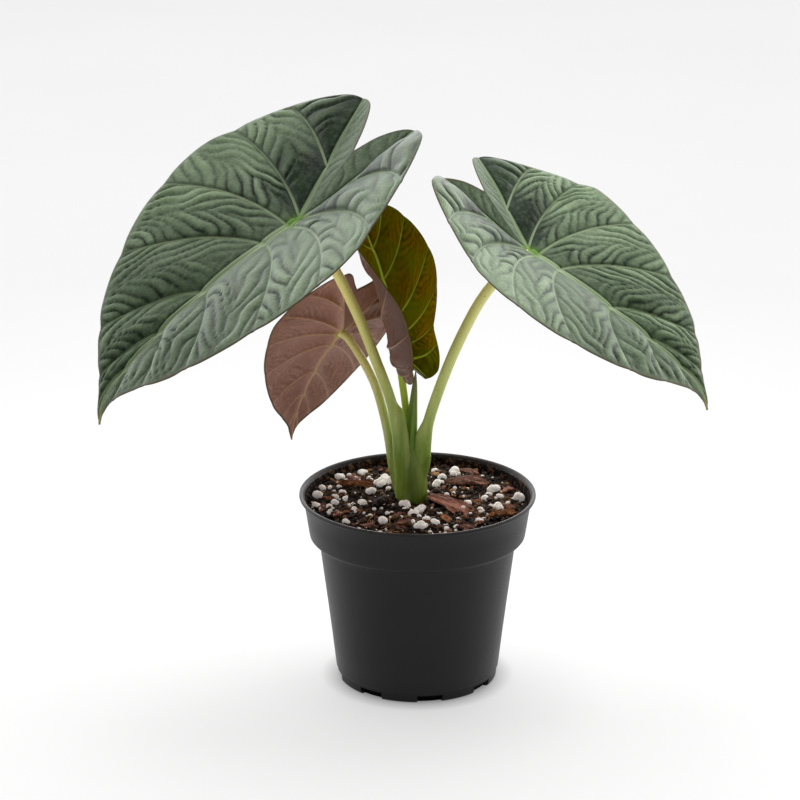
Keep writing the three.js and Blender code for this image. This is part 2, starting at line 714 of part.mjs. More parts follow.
// Assembly
const root = new THREE.Group();
root.name = 'potted_alocasia';
root.add(meshOf(potBody(), 'pot', POT_LOOK));

let soil = soilBody();
BARK.forEach((chip, k) => {
  soil = soil.subtract(barkChip(chip, 40 + k, FIT_GAP));
  root.add(meshOf(barkChip(chip, 40 + k), `bark_${k + 1}`, BARK_LOOK));
});
GRAINS.forEach((one, k) => {
  soil = soil.subtract(grain(one, 70 + k, FIT_GAP));
  root.add(meshOf(grain(one, 70 + k), `perlite_${k + 1}`, GRAIN_LOOK));
});
root.add(meshOf(mainBody(soil), 'soil', SOIL_LOOK));
root.add(meshOf(stemBody(), 'stem', STALK_LOOK));

// Every stalk is fitted round the stem and the stalks before it, and ends under its blade
const rooms = [stemBody(FIT_GAP)];
const fitted = (body) => mainBody(rooms.reduce((rest, room) => rest.subtract(room), body));
Object.entries(STALKS).forEach(([name, points], k) => {
  const underBlade = bladeSolid(BLADES[`blade_${k + 1}`], FIT_GAP);
  root.add(meshOf(fitted(stalk(points).subtract(underBlade)), name, STALK_LOOK));
  rooms.push(stalk(points, FIT_GAP));
});
root.add(meshOf(fitted(stalk(SPEAR)), 'spear', STALK_LOOK));

Object.entries(BLADES).forEach(([name, blade]) => {
  root.add(meshOf(bladeSolid(blade), name, BLADE_LOOKS[name]));
});

export default root;
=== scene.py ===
"""A young alocasia with four quilted leaves in a round black nursery pot, dressed around its CAD frame."""
import math
import random

import bmesh
import bpy
import numpy as np
from mathutils import Matrix, Vector, noise


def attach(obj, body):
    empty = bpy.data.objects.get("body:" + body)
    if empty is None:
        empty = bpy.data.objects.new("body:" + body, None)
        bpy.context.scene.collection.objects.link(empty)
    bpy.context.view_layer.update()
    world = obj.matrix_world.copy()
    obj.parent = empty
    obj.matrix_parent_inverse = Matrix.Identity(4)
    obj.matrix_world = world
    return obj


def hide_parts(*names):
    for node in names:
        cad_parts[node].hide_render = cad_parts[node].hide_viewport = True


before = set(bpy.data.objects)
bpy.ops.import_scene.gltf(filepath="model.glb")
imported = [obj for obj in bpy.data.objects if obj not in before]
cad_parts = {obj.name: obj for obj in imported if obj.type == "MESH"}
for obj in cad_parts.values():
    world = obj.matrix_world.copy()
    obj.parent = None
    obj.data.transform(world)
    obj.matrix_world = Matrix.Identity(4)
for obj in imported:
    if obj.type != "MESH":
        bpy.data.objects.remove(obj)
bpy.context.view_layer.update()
scene = bpy.context.scene

MM = 0.001

# Camera: distance and heights in millimetres, angles in degrees, focal length in image pixels
IMAGE_SIZE = 800
CAMERA_DISTANCE = 2000.0
CAMERA_PITCH = 19.25
CAMERA_FOCAL = 3977.0
CAMERA_SIDE = -8.88
AIM_HEIGHT = 148.4
SENSOR_WIDTH = 36.0

# Pot, in millimetres: outside as radius, height and inside as height, radius
NOTCHES = 8
NOTCH_WIDTH = 13
NOTCH_HEIGHT = 4
NOTCH_DEPTH = 3.2
NOTCH_FIRST_ANGLE = -81
NOTCH_EDGE = 0.03
NOTCH_RADIUS = 40.6
POT_OUTSIDE = [
    (0.01, 0), (20, 0), (34, 0), (34.6, 0), (34.75, 0), (38.9, 0), (39.8, 0.35), (40.4, 0.9), (40.6, 1.6),
    (40.7, 3.2), (40.75, 3.95), (40.76, 4.02), (40.8, 4.9), (40.9, 5.3), (41.3, 5.7), (41.6, 6.5), (43.4, 22),
    (45.6, 40), (47.8, 57), (49.7, 72), (50, 73.9), (50.25, 74.6), (50.9, 75), (53.2, 76), (54.2, 76.5),
    (54.75, 77.2), (54.95, 78.2), (56.3, 87), (57.7, 95.8), (58.2, 96.5), (59.2, 96.9), (59.8, 97.3),
    (60, 97.9), (59.9, 98.6), (59.5, 99), (58.9, 99), (58.4, 98.7), (57.8, 97.9),
]
POT_INSIDE = [
    (4, 0.01), (4, 18), (4, 37), (5.5, 39.2), (74, 48.4), (79.5, 52.9), (93, 56), (96, 56.9), (97, 57.3),
]
# The rolled lip carries a painted highlight above this height and outside this radius, and the inside is
# dusty near its top
LIP_HIGHLIGHT_RADIUS = 57
LIP_HIGHLIGHT_HEIGHT = 98.2
DUST_HEIGHT = 84

# Growing mix, in millimetres: its top reaches in under the stem, and its side is given as height, radius
SOIL_WALL_Z = 92.5
SOIL_RISE = 1.8
SOIL_INNER_RADIUS = 7.5
SOIL_SIDE = [(79.5, 52.4), (74, 47.9), (6.5, 38.9), (4.3, 36.5)]
SOIL_RINGS = 100
SOIL_SIDES = 300
RIM_RADIUS = 60
CRUMB_HEIGHT = 0.55
WALL_GAP = 0.45
# Counts of what is strewn on the mix: the first fibres lie loose, the others in nests
TINY_GRAINS = 300
TINY_CHIPS = 70
CRUMBS = 1900
FIBRES = 190
LOOSE_FIBRES = 90
FIBRE_LIMIT = 52.5

# Perlite grains that stand for CAD nodes: x, y, size, stretch along x
GRAINS = [
    (-19, 25, 6.2, 1.4), (-28.5, 43.5, 5.2, 1), (19.3, 43.5, 5.4, 1), (12.2, 33, 5.2, 1),
    (9, 20.8, 5.2, 1.1), (38.7, 12.6, 5.4, 1.1), (51.2, 2.4, 5.6, 1), (41.6, -10, 5.2, 1.1),
    (-6.2, -10, 5.4, 1), (1.4, -15.5, 5, 1.3), (1.5, -38, 5.2, 1.2), (-17.8, -33, 5.4, 1),
    (-27.8, -5.8, 5.2, 1), (-50.4, 8, 5.6, 1),
]
# Smaller grains that lie between them: x, y, size
LOOSE_GRAINS = [
    (-39.7, 34.2, 3.8), (-48.9, 19.6, 3.8), (-44.4, 18.8, 2.3), (-40.2, 20, 2.3), (-38.3, 11.2, 2.8),
    (-36.8, 1.5, 2.3), (-51.4, -6.5, 3.6), (-48.2, -8.8, 2.5), (-45, -8.8, 2.5), (-41.9, -5, 3.2),
    (-44.8, -16.9, 2), (-35.8, -29.2, 3.3), (-24, 10.4, 4.1), (-32.4, -5, 2.8), (-31.7, -13.8, 3.3),
    (-17.1, 30.4, 4.3), (-17.8, 20, 3.6), (-13.7, 26.5, 3.8), (-6.7, -13.8, 3), (-1.9, -19.6, 4.3),
    (4.4, -27.3, 3.6), (5.7, -43.5, 2), (8.9, -32.3, 3.8), (14.2, -39.6, 2.8), (19, -35, 2.3),
    (8.9, 43.8, 2.8), (12.4, 25.8, 2.8), (16.2, 23.8, 1.5), (19, 38.8, 3.6), (24.7, 34.2, 3),
    (26, -5, 3.3), (18.4, 9.6, 1.8), (34.3, 1.5, 3.8), (36.2, 9.2, 2.5), (41.9, 6.5, 3),
    (43.7, 24.6, 1.8), (31.3, -15, 3.6), (33, -23.5, 1.8), (30.8, -29.2, 3.3), (-26, 45, 1.8),
]
# Bark chips that stand for CAD nodes: x, y, length, width, turn and tilt in degrees
BARK = [
    (17.5, -10, 29, 12, -40, 9), (26.5, 24.5, 21, 10, 18, 6), (-18.8, -5.5, 15, 7.2, 76, 8),
    (-31, 22, 17, 7.5, 8, 5), (43, -20.5, 14, 6, 35, 5),
]
# Small chips that lie between them
LOOSE_BARK = [
    (46.6, 15, 9, 6, 70, 10), (45.5, -8, 8, 4, -30, 8), (-6, -33, 9, 6, 20, 5), (-24, -36, 7, 4, -25, 4),
    (30, -1, 9, 4.5, 15, 7), (-33, 33, 9, 5, 40, 6), (-40, 27, 7, 4, -60, 5), (-12, 40, 8, 4, 5, 5),
    (27, 42, 8, 5, -30, 6), (37, 33, 8, 4.5, 60, 7), (-10, -22, 7, 4, 50, 7), (14, -27, 8, 4, -55, 6),
    (24, -38, 8, 4.5, 10, 5), (-40, -20, 8, 4.5, 75, 6), (-45, 3, 6, 4, -20, 6), (0, 32, 8, 4.5, 80, 6),
]
# Matted fibre lies thick at these places: x, y
FIBRE_NESTS = [(40, -14), (34, -24), (-29, 22), (46, 4), (-8, -30)]

# Stem of wrapped stalk bases: x, y, z, half width, half depth
STEM_SIDES = 120
STEM = [
    (-3.1, 3, 70, 4.6, 4.4), (-3.1, 3, 74, 7.2, 6.8), (-3.1, 3, 84, 8, 7.4), (-3.1, 3, 96, 8.1, 7.5),
    (-3.5, 2.8, 106, 8.3, 7.2), (-4, 2.4, 114, 7.4, 6.4), (-4.4, 2, 120, 5.8, 5.2),
    (-5, 1.8, 125.5, 3.9, 3.8), (-5.3, 1.7, 129, 2, 2),
]
# Furrows between the wrapped stalk bases: turn in degrees, depth, strength of the painted shade in the
# furrow, and pale strength
FURROWS = [
    (205, 0.03, 0.1, 0.8), (266, 0.03, 0.4, 0), (286, 0.02, 0.25, 0), (40, 0.08, 0.5, 0.3),
    (128, 0.08, 0.5, 0.3),
]
# Leaf stalks and the new leaf's sheath: x, y, z, radius
STALK_SIDES = 40
STALK_CUTS = 10
STALKS = {
    "petiole_1": [
        (-6, 0.5, 100, 3), (-8.9, -0.8, 116, 3), (-10.6, -2, 133, 2.8), (-13.7, -3.7, 150, 2.7),
        (-21, -6, 171.7, 2.65), (-28.8, -9.3, 193.8, 2.65), (-39.6, -14.6, 219, 2.6),
        (-49.5, -18.2, 236.5, 2.6), (-59.6, -20.9, 247.2, 2.7),
    ],
    "petiole_2": [
        (-1, 3, 98, 3.2), (3.1, 1.5, 113, 3), (4.2, -0.4, 127, 2.9), (5.8, -2.2, 139, 2.8),
        (12.4, -5.8, 161, 2.7), (20.8, -9.8, 183.5, 2.7), (31.2, -14, 205.7, 2.65),
        (42, -16.8, 220.5, 2.6), (55.3, -18, 231.2, 2.6),
    ],
    "petiole_3": [
        (-9.5, 5.5, 98, 2.2), (-12.2, 5.6, 109, 2.3), (-15.4, 7.2, 130, 2.3), (-19, 9.6, 145, 2.25),
        (-22.6, 12, 155, 2.2), (-27.8, 15, 164.6, 2.2), (-34.5, 19, 173.9, 2.1), (-39.2, 20.8, 177.4, 2),
    ],
    "petiole_4": [
        (-3.6, 4.5, 112, 2), (-4.8, 4.2, 130, 1.9), (-6.1, 3.4, 144, 1.85), (-8.6, 2.5, 163.5, 1.85),
        (-10.2, 2.2, 171, 1.75), (-10.9, 2.1, 177, 1.7),
    ],
}
SPEAR = [
    (-4.6, 1.4, 112, 3.2), (-3.7, 1.1, 124, 3.3), (-3, 0.8, 134, 2.9), (-2.2, 0.4, 146, 2.1),
    (-1.5, 0.1, 156, 1.3), (-1, -0.2, 163.6, 0.25),
]
# Each stalk's base spreads into a sheath: turn in degrees, share of its radius, height and length of shoulder
SHEATHS = {
    "petiole_1": (-12, 1.05, 148.5, 7), "petiole_2": (196, 0.95, 139, 10), "petiole_3": (-5, 0.4, 134, 14),
    "petiole_4": (0, 0.0, 130, 14),
}

# Half outline of a blade from its tip towards its notch, along and across, as parts of its length
GROWN = [
    (1, 0), (0.946, 0.02), (0.888, 0.05), (0.815, 0.13), (0.695, 0.27), (0.49, 0.425), (0.29, 0.535),
    (0.05, 0.597), (-0.146, 0.553), (-0.334, 0.443), (-0.45, 0.33), (-0.484, 0.24), (-0.475, 0.145),
    (-0.404, 0.06),
]
YOUNG = [
    (1, 0), (0.95, 0.02), (0.9, 0.06), (0.845, 0.155), (0.735, 0.31), (0.52, 0.475), (0.31, 0.575),
    (0.08, 0.57), (-0.09, 0.51), (-0.24, 0.425), (-0.315, 0.325), (-0.328, 0.245), (-0.315, 0.16),
    (-0.258, 0.08),
]
# Blades: angles in degrees, and pairs are (right half, left half) seen from above with the tip ahead
SMALL_BLADE = dict(lead=(0, 0), bow=(0.15, 0.15), near=(0, 0), spokes=72)
LARGE_BLADE = dict(outline=GROWN, notch=-0.31, scallop=1, quilt=1, ripple=1)
BLADES = {
    "blade_1": dict(
        LARGE_BLADE, at=(-59.8, -21, 248.1), length=142, heading=204, slope=27.5, roll=-2,
        bend=20, hook=41, lift=10, sweep=-1, twist=3.5, crest=0.21, rib=(0.5, 0.352),
        fold=(18, 14), open=(-2.5, -11.5), lobe=(-1, 7.5), curl=(-9.5, -17.5),
        width=(1.01, 1.03), shoulder=(0.01, -0.05), reach=(1.01, 1.03),
        lead=(0.065, -0.02), bow=(0.13, 0.23), near=(0, 1), spokes=97, cut=1.35, seed=11,
    ),
    "blade_2": dict(
        LARGE_BLADE, at=(55.5, -18, 231.8), length=119, heading=-23.3, slope=26.5, roll=0.3,
        bend=14.5, hook=40, lift=14, sweep=-1.7, twist=-4.8, crest=0.2, rib=(0.27, 0.545),
        fold=(12.4, 15.6), open=(-12.8, -3.9), lobe=(3.5, -14.7), curl=(-17, -8.7),
        width=(1.01, 0.98), shoulder=(-0.02, 0.055), reach=(0.99, 0.95),
        lead=(-0.02, 0.065), bow=(0.23, 0.13), near=(1, 0), spokes=94, cut=1.15, seed=23,
    ),
    "blade_3": dict(
        SMALL_BLADE, at=(-39.7, 22, 177.6), length=70, heading=148, slope=50.2, roll=11,
        bend=29.4, hook=17.5, lift=8.6, sweep=1, twist=1, crest=0.19, rib=(0.49, 0.51),
        fold=(0.5, 14.5), open=(-13.4, -10.3), lobe=(-1, 5.7), curl=(-8.7, -4.6),
        outline=GROWN, notch=-0.36, width=(0.96, 0.975), shoulder=(-0.05, 0.07), reach=(1.03, 1.08),
        scallop=0.3, quilt=1.3, ripple=0.9, cut=1.1, seed=37,
    ),
    "blade_4": dict(
        SMALL_BLADE, at=(-10.9, 2, 178), length=82.8, heading=162, slope=-83.5, roll=3.6,
        bend=25.9, hook=5, lift=25, sweep=1.3, twist=7, crest=0.27, rib=(0.48, 0.44),
        fold=(15.8, -8.3), open=(11, -2.6), lobe=(0.8, 29), curl=(-15, 126),
        outline=YOUNG, notch=-0.19, width=(1, 1), shoulder=(0, 0), reach=(1, 0.7),
        scallop=0.6, quilt=0.7, ripple=0.48, cut=1.2, seed=53,
    ),
}
# Main side veins: where each leaves the midrib or lobe rib (0 tip, 1 stalk joint, 2 lobe end)
# and where it meets the margin (1 tip, 0 stalk joint, -1 lobe end)
VEINS = [
    (0, 1), (0.23, 0.9), (0.4, 0.81), (0.6, 0.68), (0.865, 0.44), (0.97, 0.18), (1.04, -0.21), (1.45, -0.62),
]
STARTS = [start for start, _ in VEINS] + [2]
LAST_PANEL = len(VEINS) - 1
# Sizes of the relief hold for a blade of this length
FULL_LENGTH = 142
# The margin is drawn in where a side vein meets it, as a part of the half width
SCALLOP = 0.012
SPOKE_LEAN = 0.05
SPOKE_CROWDING = 1.12
NOTCH_PLACE = 0.6
INNER_CUTS = 40
MARGIN_LENGTH = 1.95
BLADE_THICK = 0.8
RIM_THICK = 0.45
MIDRIB_THICK = 1.7
RIB_HALF_WIDTH = 1.9
QUILT_RISE = 0.13
QUILT_WIDTH_LIMIT = 0.2
RIPPLE_PITCH = 0.058
RIPPLE_HEIGHT = 0.0115
# Small veins leave the side vein nearer the tip steeply and curl outward; from the other one they leave flat
RIPPLE_REACH = 0.58
RIPPLE_LEAN = 0.4
RIPPLE_CURL = 0.85
RIPPLE_FLAT_ANGLE = 25

# Leaf colours on a screen's scale, 0 to 255; in each look the valley and ridge colours paint shade in the
# relief's valleys and grooves and light on its crests
TOP_LOOK = dict(
    valley=(8, 22, 6), ridge=(140, 160, 126), cloud=(70, 94, 64), warm=(60, 80, 34), net=(48, 72, 36),
    vein=(156, 174, 136), joint=(104, 146, 50), rim=(92, 84, 62), tip=(140, 130, 74),
)
UNDER_LOOK = dict(
    valley=(100, 68, 50), ridge=(188, 142, 128), cloud=(166, 120, 106), warm=(120, 84, 44), net=(124, 88, 72),
    vein=(212, 176, 128), joint=(186, 190, 56), rim=(78, 70, 32), tip=(150, 122, 50),
)
YOUNG_TOP_LOOK = dict(
    valley=(44, 38, 0), ridge=(114, 88, 2), cloud=(74, 84, 4), warm=(70, 90, 6), net=(80, 68, 2),
    vein=(142, 160, 46), joint=(96, 138, 20), rim=(70, 76, 10), tip=(96, 92, 12),
)
YOUNG_UNDER_LOOK = dict(
    valley=(54, 32, 24), ridge=(128, 92, 80), cloud=(92, 64, 52), warm=(84, 54, 30), net=(100, 72, 62),
    vein=(190, 162, 136), joint=(150, 160, 66), rim=(104, 94, 44), tip=(110, 100, 48),
)
# Slot of each blade, and brightness of its top, which paints in how much light each leaf catches: blade_2
# brighter, blade_1 darker
BLADE_SKINS = {
    "blade_1": ("leaf", 0.95), "blade_2": ("leaf", 1.3), "blade_3": ("leaf_underside", 1),
    "blade_4": ("young_leaf", 1),
}
# Stalk colours: low on the stalk, high on it, and its pale streaks
STALK_PAINT = {
    "petiole_1": ((104, 148, 20), (244, 236, 138), (226, 230, 146)),
    "petiole_2": ((118, 162, 24), (242, 246, 148), (238, 242, 166)),
    "petiole_3": ((168, 192, 84), (234, 228, 138), (240, 238, 190)),
    "petiole_4": ((160, 190, 20), (190, 206, 40), (210, 218, 96)),
}
SPEAR_PAINT = ((112, 150, 26), (112, 112, 52), (150, 166, 80))
STEM_PAINT = ((102, 134, 28), (126, 158, 40), (192, 208, 108))
BARK_SHADES = [(226, 166, 140), (206, 158, 136), (70, 54, 44), (196, 136, 90), (230, 168, 108)]
CRUMB_SHADES = [(40, 28, 20), (66, 47, 32), (96, 69, 44), (140, 103, 66), (22, 17, 13), (188, 144, 92)]
CRUMB_SHARES = (5, 6, 5, 3, 5, 1.2)

# Floor's own glow, far from the pot and near it, and the distance between the two in metres
FLOOR_GLOW = 0.37
FLOOR_GLOW_NEAR = 0.565
FLOOR_GLOW_REACH = 0.7
FLOOR_HALF = 15000
FLOOR_DROP = 0.1
# Under the pot and just beside it the floor glows less: radius in metres
SHADE_FROM = 0.036
SHADE_TO = 0.05
# Studio: a bright backdrop behind the plant, paler sides and a dim front; lamp in metres and watts
BACKDROP = 2.8
SIDES = 1.0
FRONT = 0.05
CEILING = 0.4
LAMP_AT = (0.08, 0.5, 2.1)
LAMP_TARGET = (0, 0, 0.1)
LAMP_SIZE = 1.6
LAMP_POWER = 25


# Small helpers
def smooth(t):
    t = np.clip(t, 0, 1)
    return t * t * (3 - 2 * t)


def bell(x, width):
    return np.exp(-(np.asarray(x) / width) ** 2)


def unit(vectors):
    return vectors / np.linalg.norm(vectors, axis=1)[:, None]


def smooth_curve(points, cuts):
    p = np.asarray(points, float)
    p = np.vstack([2 * p[0] - p[1], p, 2 * p[-1] - p[-2]])
    out = []
    for k in range(1, len(p) - 2):
        t = (np.arange(cuts) / cuts)[:, None]
        a, b, c, d = p[k - 1], p[k], p[k + 1], p[k + 2]
        square = (2 * a - 5 * b + 4 * c - d) * t * t
        out.append(0.5 * (2 * b + (c - a) * t + square + (3 * b - 3 * c + d - a) * t ** 3))
    return np.vstack(out + [p[-2:-1]])


def noise_at(points, scale, seed=0.0):
    shift = Vector((seed * 7.31, seed * 3.17, seed * 5.77))
    return np.array([noise.noise(Vector(q) * scale + shift) for q in np.asarray(points, float)])


def soil_height(x, y):
    away = np.hypot(x, y) / RIM_RADIUS
    crumbs = (np.sin(x * 0.51 + 1.3) * np.cos(y * 0.47 - 0.4) + 0.6 * np.sin(x * 0.93 - y * 0.71)
              + 0.5 * np.cos(x * 1.37 + y * 1.11 + 2))
    return SOIL_WALL_Z + SOIL_RISE * (1 - away * away) + CRUMB_HEIGHT * crumbs


def point_colours(*values):
    """Colours from three values, each a number or one for every point."""
    return np.clip(np.stack(np.broadcast_arrays(*values, 1.0), -1), 0, 1)


def add_object(name, data):
    added = bpy.data.objects.new(name, data)
    scene.collection.objects.link(added)
    return added


def build_mesh(name, vertices, faces, materials, slots=None, layers=None, smooth_faces=True):
    """Object from vertices in millimetres; layers holds named per-vertex colours."""
    mesh = bpy.data.meshes.new(name)
    mesh.from_pydata((np.asarray(vertices, float) * MM).tolist(), [], faces)
    for material in materials:
        mesh.materials.append(material)
    if slots is not None:
        mesh.polygons.foreach_set("material_index", np.asarray(slots, np.int32))
    mesh.polygons.foreach_set("use_smooth", np.full(len(mesh.polygons), smooth_faces))
    for key, values in (layers or {}).items():
        layer = mesh.color_attributes.new(key, "FLOAT_COLOR", "POINT")
        layer.data.foreach_set("color", np.asarray(values, np.float32).ravel())
    mesh.validate()
    mesh.update()
    return add_object(name, mesh)


def dress(piece, slot, nodes):
    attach(piece, "root")
    if nodes:
        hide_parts(*nodes)


def grid_faces(rows, columns, closed=False):
    faces = []
    for i in range(rows - 1):
        for j in range(columns if closed else columns - 1):
            a, b = i * columns + j, i * columns + (j + 1) % columns
            faces.append((a, b, b + columns, a + columns))
    return faces


def tube_faces(rows, sides):
    """Faces around a tube, with both of its ends capped."""
    last = (rows - 1) * sides
    return [*grid_faces(rows, sides, True), tuple(range(sides - 1, -1, -1)), tuple(range(last, last + sides))]


# Material helpers
def rgb(red, green, blue):
    """Linear colour from screen values 0 to 255."""
    out = []
    for value in (red, green, blue):
        v = value / 255
        out.append(v / 12.92 if v <= 0.04045 else ((v + 0.055) / 1.055) ** 2.4)
    return (*out, 1.0)


def linear(look, part=1.0):
    """A look's colours for the shader, made brighter or darker."""
    return {key: (*(part * c for c in rgb(*colour)[:3]), 1.0) for key, colour in look.items()}


class Nodes:
    """A node tree built step by step: a value is a constant or another node's socket."""

    def __init__(self, tree):
        self.tree = tree

    def put(self, socket, value):
        if isinstance(value, bpy.types.NodeSocket):
            self.tree.links.new(value, socket)
        else:
            socket.default_value = value

    def node(self, kind, inputs, output, **settings):
        node = self.tree.nodes.new(f"ShaderNode{kind}")
        for key, value in settings.items():
            setattr(node, key, value)
        for key, value in inputs.items():
            self.put(node.inputs[key], value)
        return node.outputs[output]

    def span(self, value, low, high, to_low=0.0, to_high=1.0, **settings):
        ends = {"Value": value, "From Min": low, "From Max": high, "To Min": to_low, "To Max": to_high}
        return self.node("MapRange", ends, "Result", **settings)


class Paint(Nodes):
    """A material's nodes; colours are linear, or three screen values 0 to 255."""

    def __init__(self, name, specular):
        self.material = bpy.data.materials.new(name)
        self.material.use_nodes = True
        super().__init__(self.material.node_tree)
        self.shader = self.tree.nodes["Principled BSDF"].inputs
        self.shader["Specular IOR Level"].default_value = specular
        self.place = self.node("TexCoord", {}, "Object")

    def noise(self, scale, detail=4.0, roughness=0.55, vector=None, distortion=0.0):
        inputs = {"Scale": scale, "Detail": detail, "Roughness": roughness, "Distortion": distortion}
        return self.node("TexNoise", {"Vector": vector or self.place, **inputs}, "Fac")

    def cells(self, scale, feature="DISTANCE_TO_EDGE"):
        return self.node("TexVoronoi", {"Vector": self.place, "Scale": scale}, "Distance", feature=feature)

    def stretch(self, vector, scale):
        return self.node("Mapping", {"Vector": vector, "Scale": scale}, "Vector")

    def colour_of(self, layer):
        return self.node("Attribute", {}, "Color", attribute_name=layer)

    def channels(self, layer):
        """Red, green and blue of a layer, each as a socket."""
        return list(self.node("SeparateColor", {"Color": self.colour_of(layer)}, 0).node.outputs)

    def math(self, operation, a, b):
        return self.node("Math", {0: a, 1: b}, 0, operation=operation)

    def mix(self, factor, a, b, blend="MIX"):
        a, b = (rgb(*c) if isinstance(c, tuple) and len(c) == 3 else c for c in (a, b))
        return self.node("Mix", {0: factor, 6: a, 7: b}, 2, data_type="RGBA", blend_type=blend)

    def over(self, colour, tint, value, low, high, share_high, share_low=0.0):
        """Tint laid over a colour, with one share where value is low and another where it is high."""
        return self.mix(self.span(value, low, high, share_low, share_high), colour, tint)

    def finish(self, colour, rough, roughness, height, strength, distance):
        """Roughness follows the value rough, and bumps follow height."""
        self.put(self.shader["Base Color"], colour)
        self.put(self.shader["Roughness"], self.span(rough, 0.3, 0.7, *roughness))
        bump = {"Strength": strength, "Distance": distance, "Height": height}
        self.put(self.shader["Normal"], self.node("Bump", bump, "Normal"))
        return self.material


# Materials
def leaf_material(name, look, roughness=(0.4, 0.52), specular=0.4, sheen=0.0, vein_part=1.0, clouding=0.25):
    """Leaf skin: look gives its colours in valleys, on ridges and veins, and at its rim, tip and joint; the
    valley and ridge colours are painted shade and light.
    """
    paint = Paint(name, specular)
    paint.shader["Sheen Weight"].default_value = sheen
    paint.shader["Sheen Roughness"].default_value = 0.34
    paint.shader["Sheen Tint"].default_value = (0.86, 0.95, 0.86, 1.0)
    # The ridge channel is painted light and shade: valley colour where it is low, ridge colour where it is
    # high
    vein, ridge, rim = paint.channels("marks")
    joint, tip, warm = paint.channels("zones")
    mottle = paint.noise(420, 3)
    net = paint.cells(520)
    lift = paint.math("ADD", ridge, paint.span(mottle, 0.3, 0.7, -0.14, 0.14))
    colour = paint.mix(paint.span(lift, 0.0, 1.0), look["valley"], look["ridge"])
    colour = paint.over(colour, look["cloud"], paint.noise(60, 3), 0.38, 0.64, clouding)
    colour = paint.mix(warm, colour, look["warm"])
    colour = paint.over(colour, look["net"], net, 0.0, 0.12, 0.0, 0.28)
    colour = paint.mix(paint.math("MULTIPLY", vein, vein_part), colour, look["vein"])
    for zone, key in ((joint, "joint"), (rim, "rim"), (tip, "tip")):
        colour = paint.mix(zone, colour, look[key])
    height = paint.math("ADD", paint.span(net, 0.0, 0.3), paint.math("MULTIPLY", mottle, 0.6))
    return paint.finish(colour, mottle, roughness, height, 0.3, 0.0002)


def stalk_material(name, low, high, pale):
    """Juicy stalk skin: the tint channel runs from low to high colour, edge lines are pale, and the dark
    channel is painted shade beside the sheaths, along the spear's fold and in the stem's furrows.
    """
    paint = Paint(name, 0.45)
    tint, line, dark = paint.channels("tint")
    streaks = paint.noise(260, 4, 0.6, paint.stretch(paint.place, (1.0, 1.0, 0.12)))
    colour = paint.over(paint.mix(tint, low, high), pale, streaks, 0.38, 0.72, 0.4)
    colour = paint.over(colour, (66, 92, 30), paint.noise(900, 2), 0.62, 0.74, 0.45)
    colour = paint.mix(dark, paint.mix(line, colour, pale), (40, 62, 20))
    return paint.finish(colour, streaks, (0.32, 0.48), streaks, 0.3, 0.0002)


def pot_material(name, specular, roughness):
    paint = Paint(name, specular)
    grain = paint.noise(1500, 3, 0.6)
    scuffs = paint.noise(160, 5, 0.7, paint.stretch(paint.place, (1.0, 1.0, 0.3)))
    # Channels: dust near the top of the inside, painted highlight on the lip, painted shade in the drain
    # notches
    dust, lip_highlight, recess = paint.channels("dust_and_painted_light")
    colour = paint.mix(paint.span(paint.noise(22, 4), 0.3, 0.7), (6, 6, 8), (11, 11, 13))
    colour = paint.over(colour, (38, 38, 39), scuffs, 0.62, 0.8, 0.3)
    dirt = paint.span(paint.noise(420, 4, 0.7), 0.5, 0.66)
    colour = paint.mix(paint.math("MULTIPLY", dirt, dust), colour, (112, 84, 62))
    # Painted highlight along the top of the rolled lip
    colour = paint.mix(paint.math("MULTIPLY", lip_highlight, 0.6), colour, (74, 68, 64))
    # Painted shade: the drain notches' shallow recesses are near black, like a deep notch in shadow
    colour = paint.mix(recess, colour, (4, 4, 4))
    return paint.finish(colour, grain, roughness, grain, 0.35, 0.00012)


def soil_material():
    paint = Paint("soil_look", 0.25)
    clods = paint.noise(260, 5, 0.65)
    dust = paint.noise(1400, 4, 0.6)
    colour = paint.mix(paint.span(clods, 0.36, 0.64), (11, 8, 6), (54, 38, 26))
    colour = paint.over(colour, (104, 74, 50), dust, 0.55, 0.72, 0.6)
    height = paint.math("ADD", clods, paint.math("MULTIPLY", dust, 0.7))
    return paint.finish(colour, dust, (0.7, 0.95), height, 0.9, 0.0012)


def crumb_material():
    paint = Paint("crumb_look", 0.3)
    grit = paint.noise(1100, 4, 0.65)
    colour = paint.over(paint.colour_of("shade"), (28, 19, 13), grit, 0.35, 0.7, 0.55)
    return paint.finish(colour, grit, (0.6, 0.92), grit, 0.8, 0.0006)


def perlite_material():
    """Porous white grains with a faint glow, for the light that bounces inside them."""
    paint = Paint("perlite_look", 0.3)
    paint.shader["Emission Color"].default_value = (1.0, 0.97, 0.93, 1.0)
    paint.shader["Emission Strength"].default_value = 0.13
    pores = paint.cells(900, "F1")
    dirt = paint.noise(340, 4, 0.6)
    colour = paint.over((255, 252, 246), (220, 206, 184), dirt, 0.5, 0.76, 0.5)
    colour = paint.over(colour, (186, 176, 160), pores, 0.0, 0.25, 0.0, 0.25)
    height = paint.math("ADD", paint.span(pores, 0.0, 0.4), paint.noise(1600, 3))
    return paint.finish(colour, dirt, (0.72, 0.92), height, 0.6, 0.0004)


def bark_material():
    paint = Paint("bark_look", 0.3)
    fibres = paint.noise(26, 5, 0.65, paint.stretch(paint.colour_of("fibre"), (1.0, 14.0, 8.0)), 0.4)
    flakes = paint.noise(210, 4, 0.6)
    colour = paint.mix(paint.span(fibres, 0.32, 0.68), (150, 132, 122), (252, 250, 248))
    colour = paint.over(colour, (164, 140, 124), flakes, 0.5, 0.75, 0.5)
    colour = paint.mix(1.0, colour, paint.colour_of("shade"), "MULTIPLY")
    height = paint.math("ADD", fibres, paint.math("MULTIPLY", flakes, 0.5))
    return paint.finish(colour, flakes, (0.6, 0.85), height, 0.9, 0.0008)


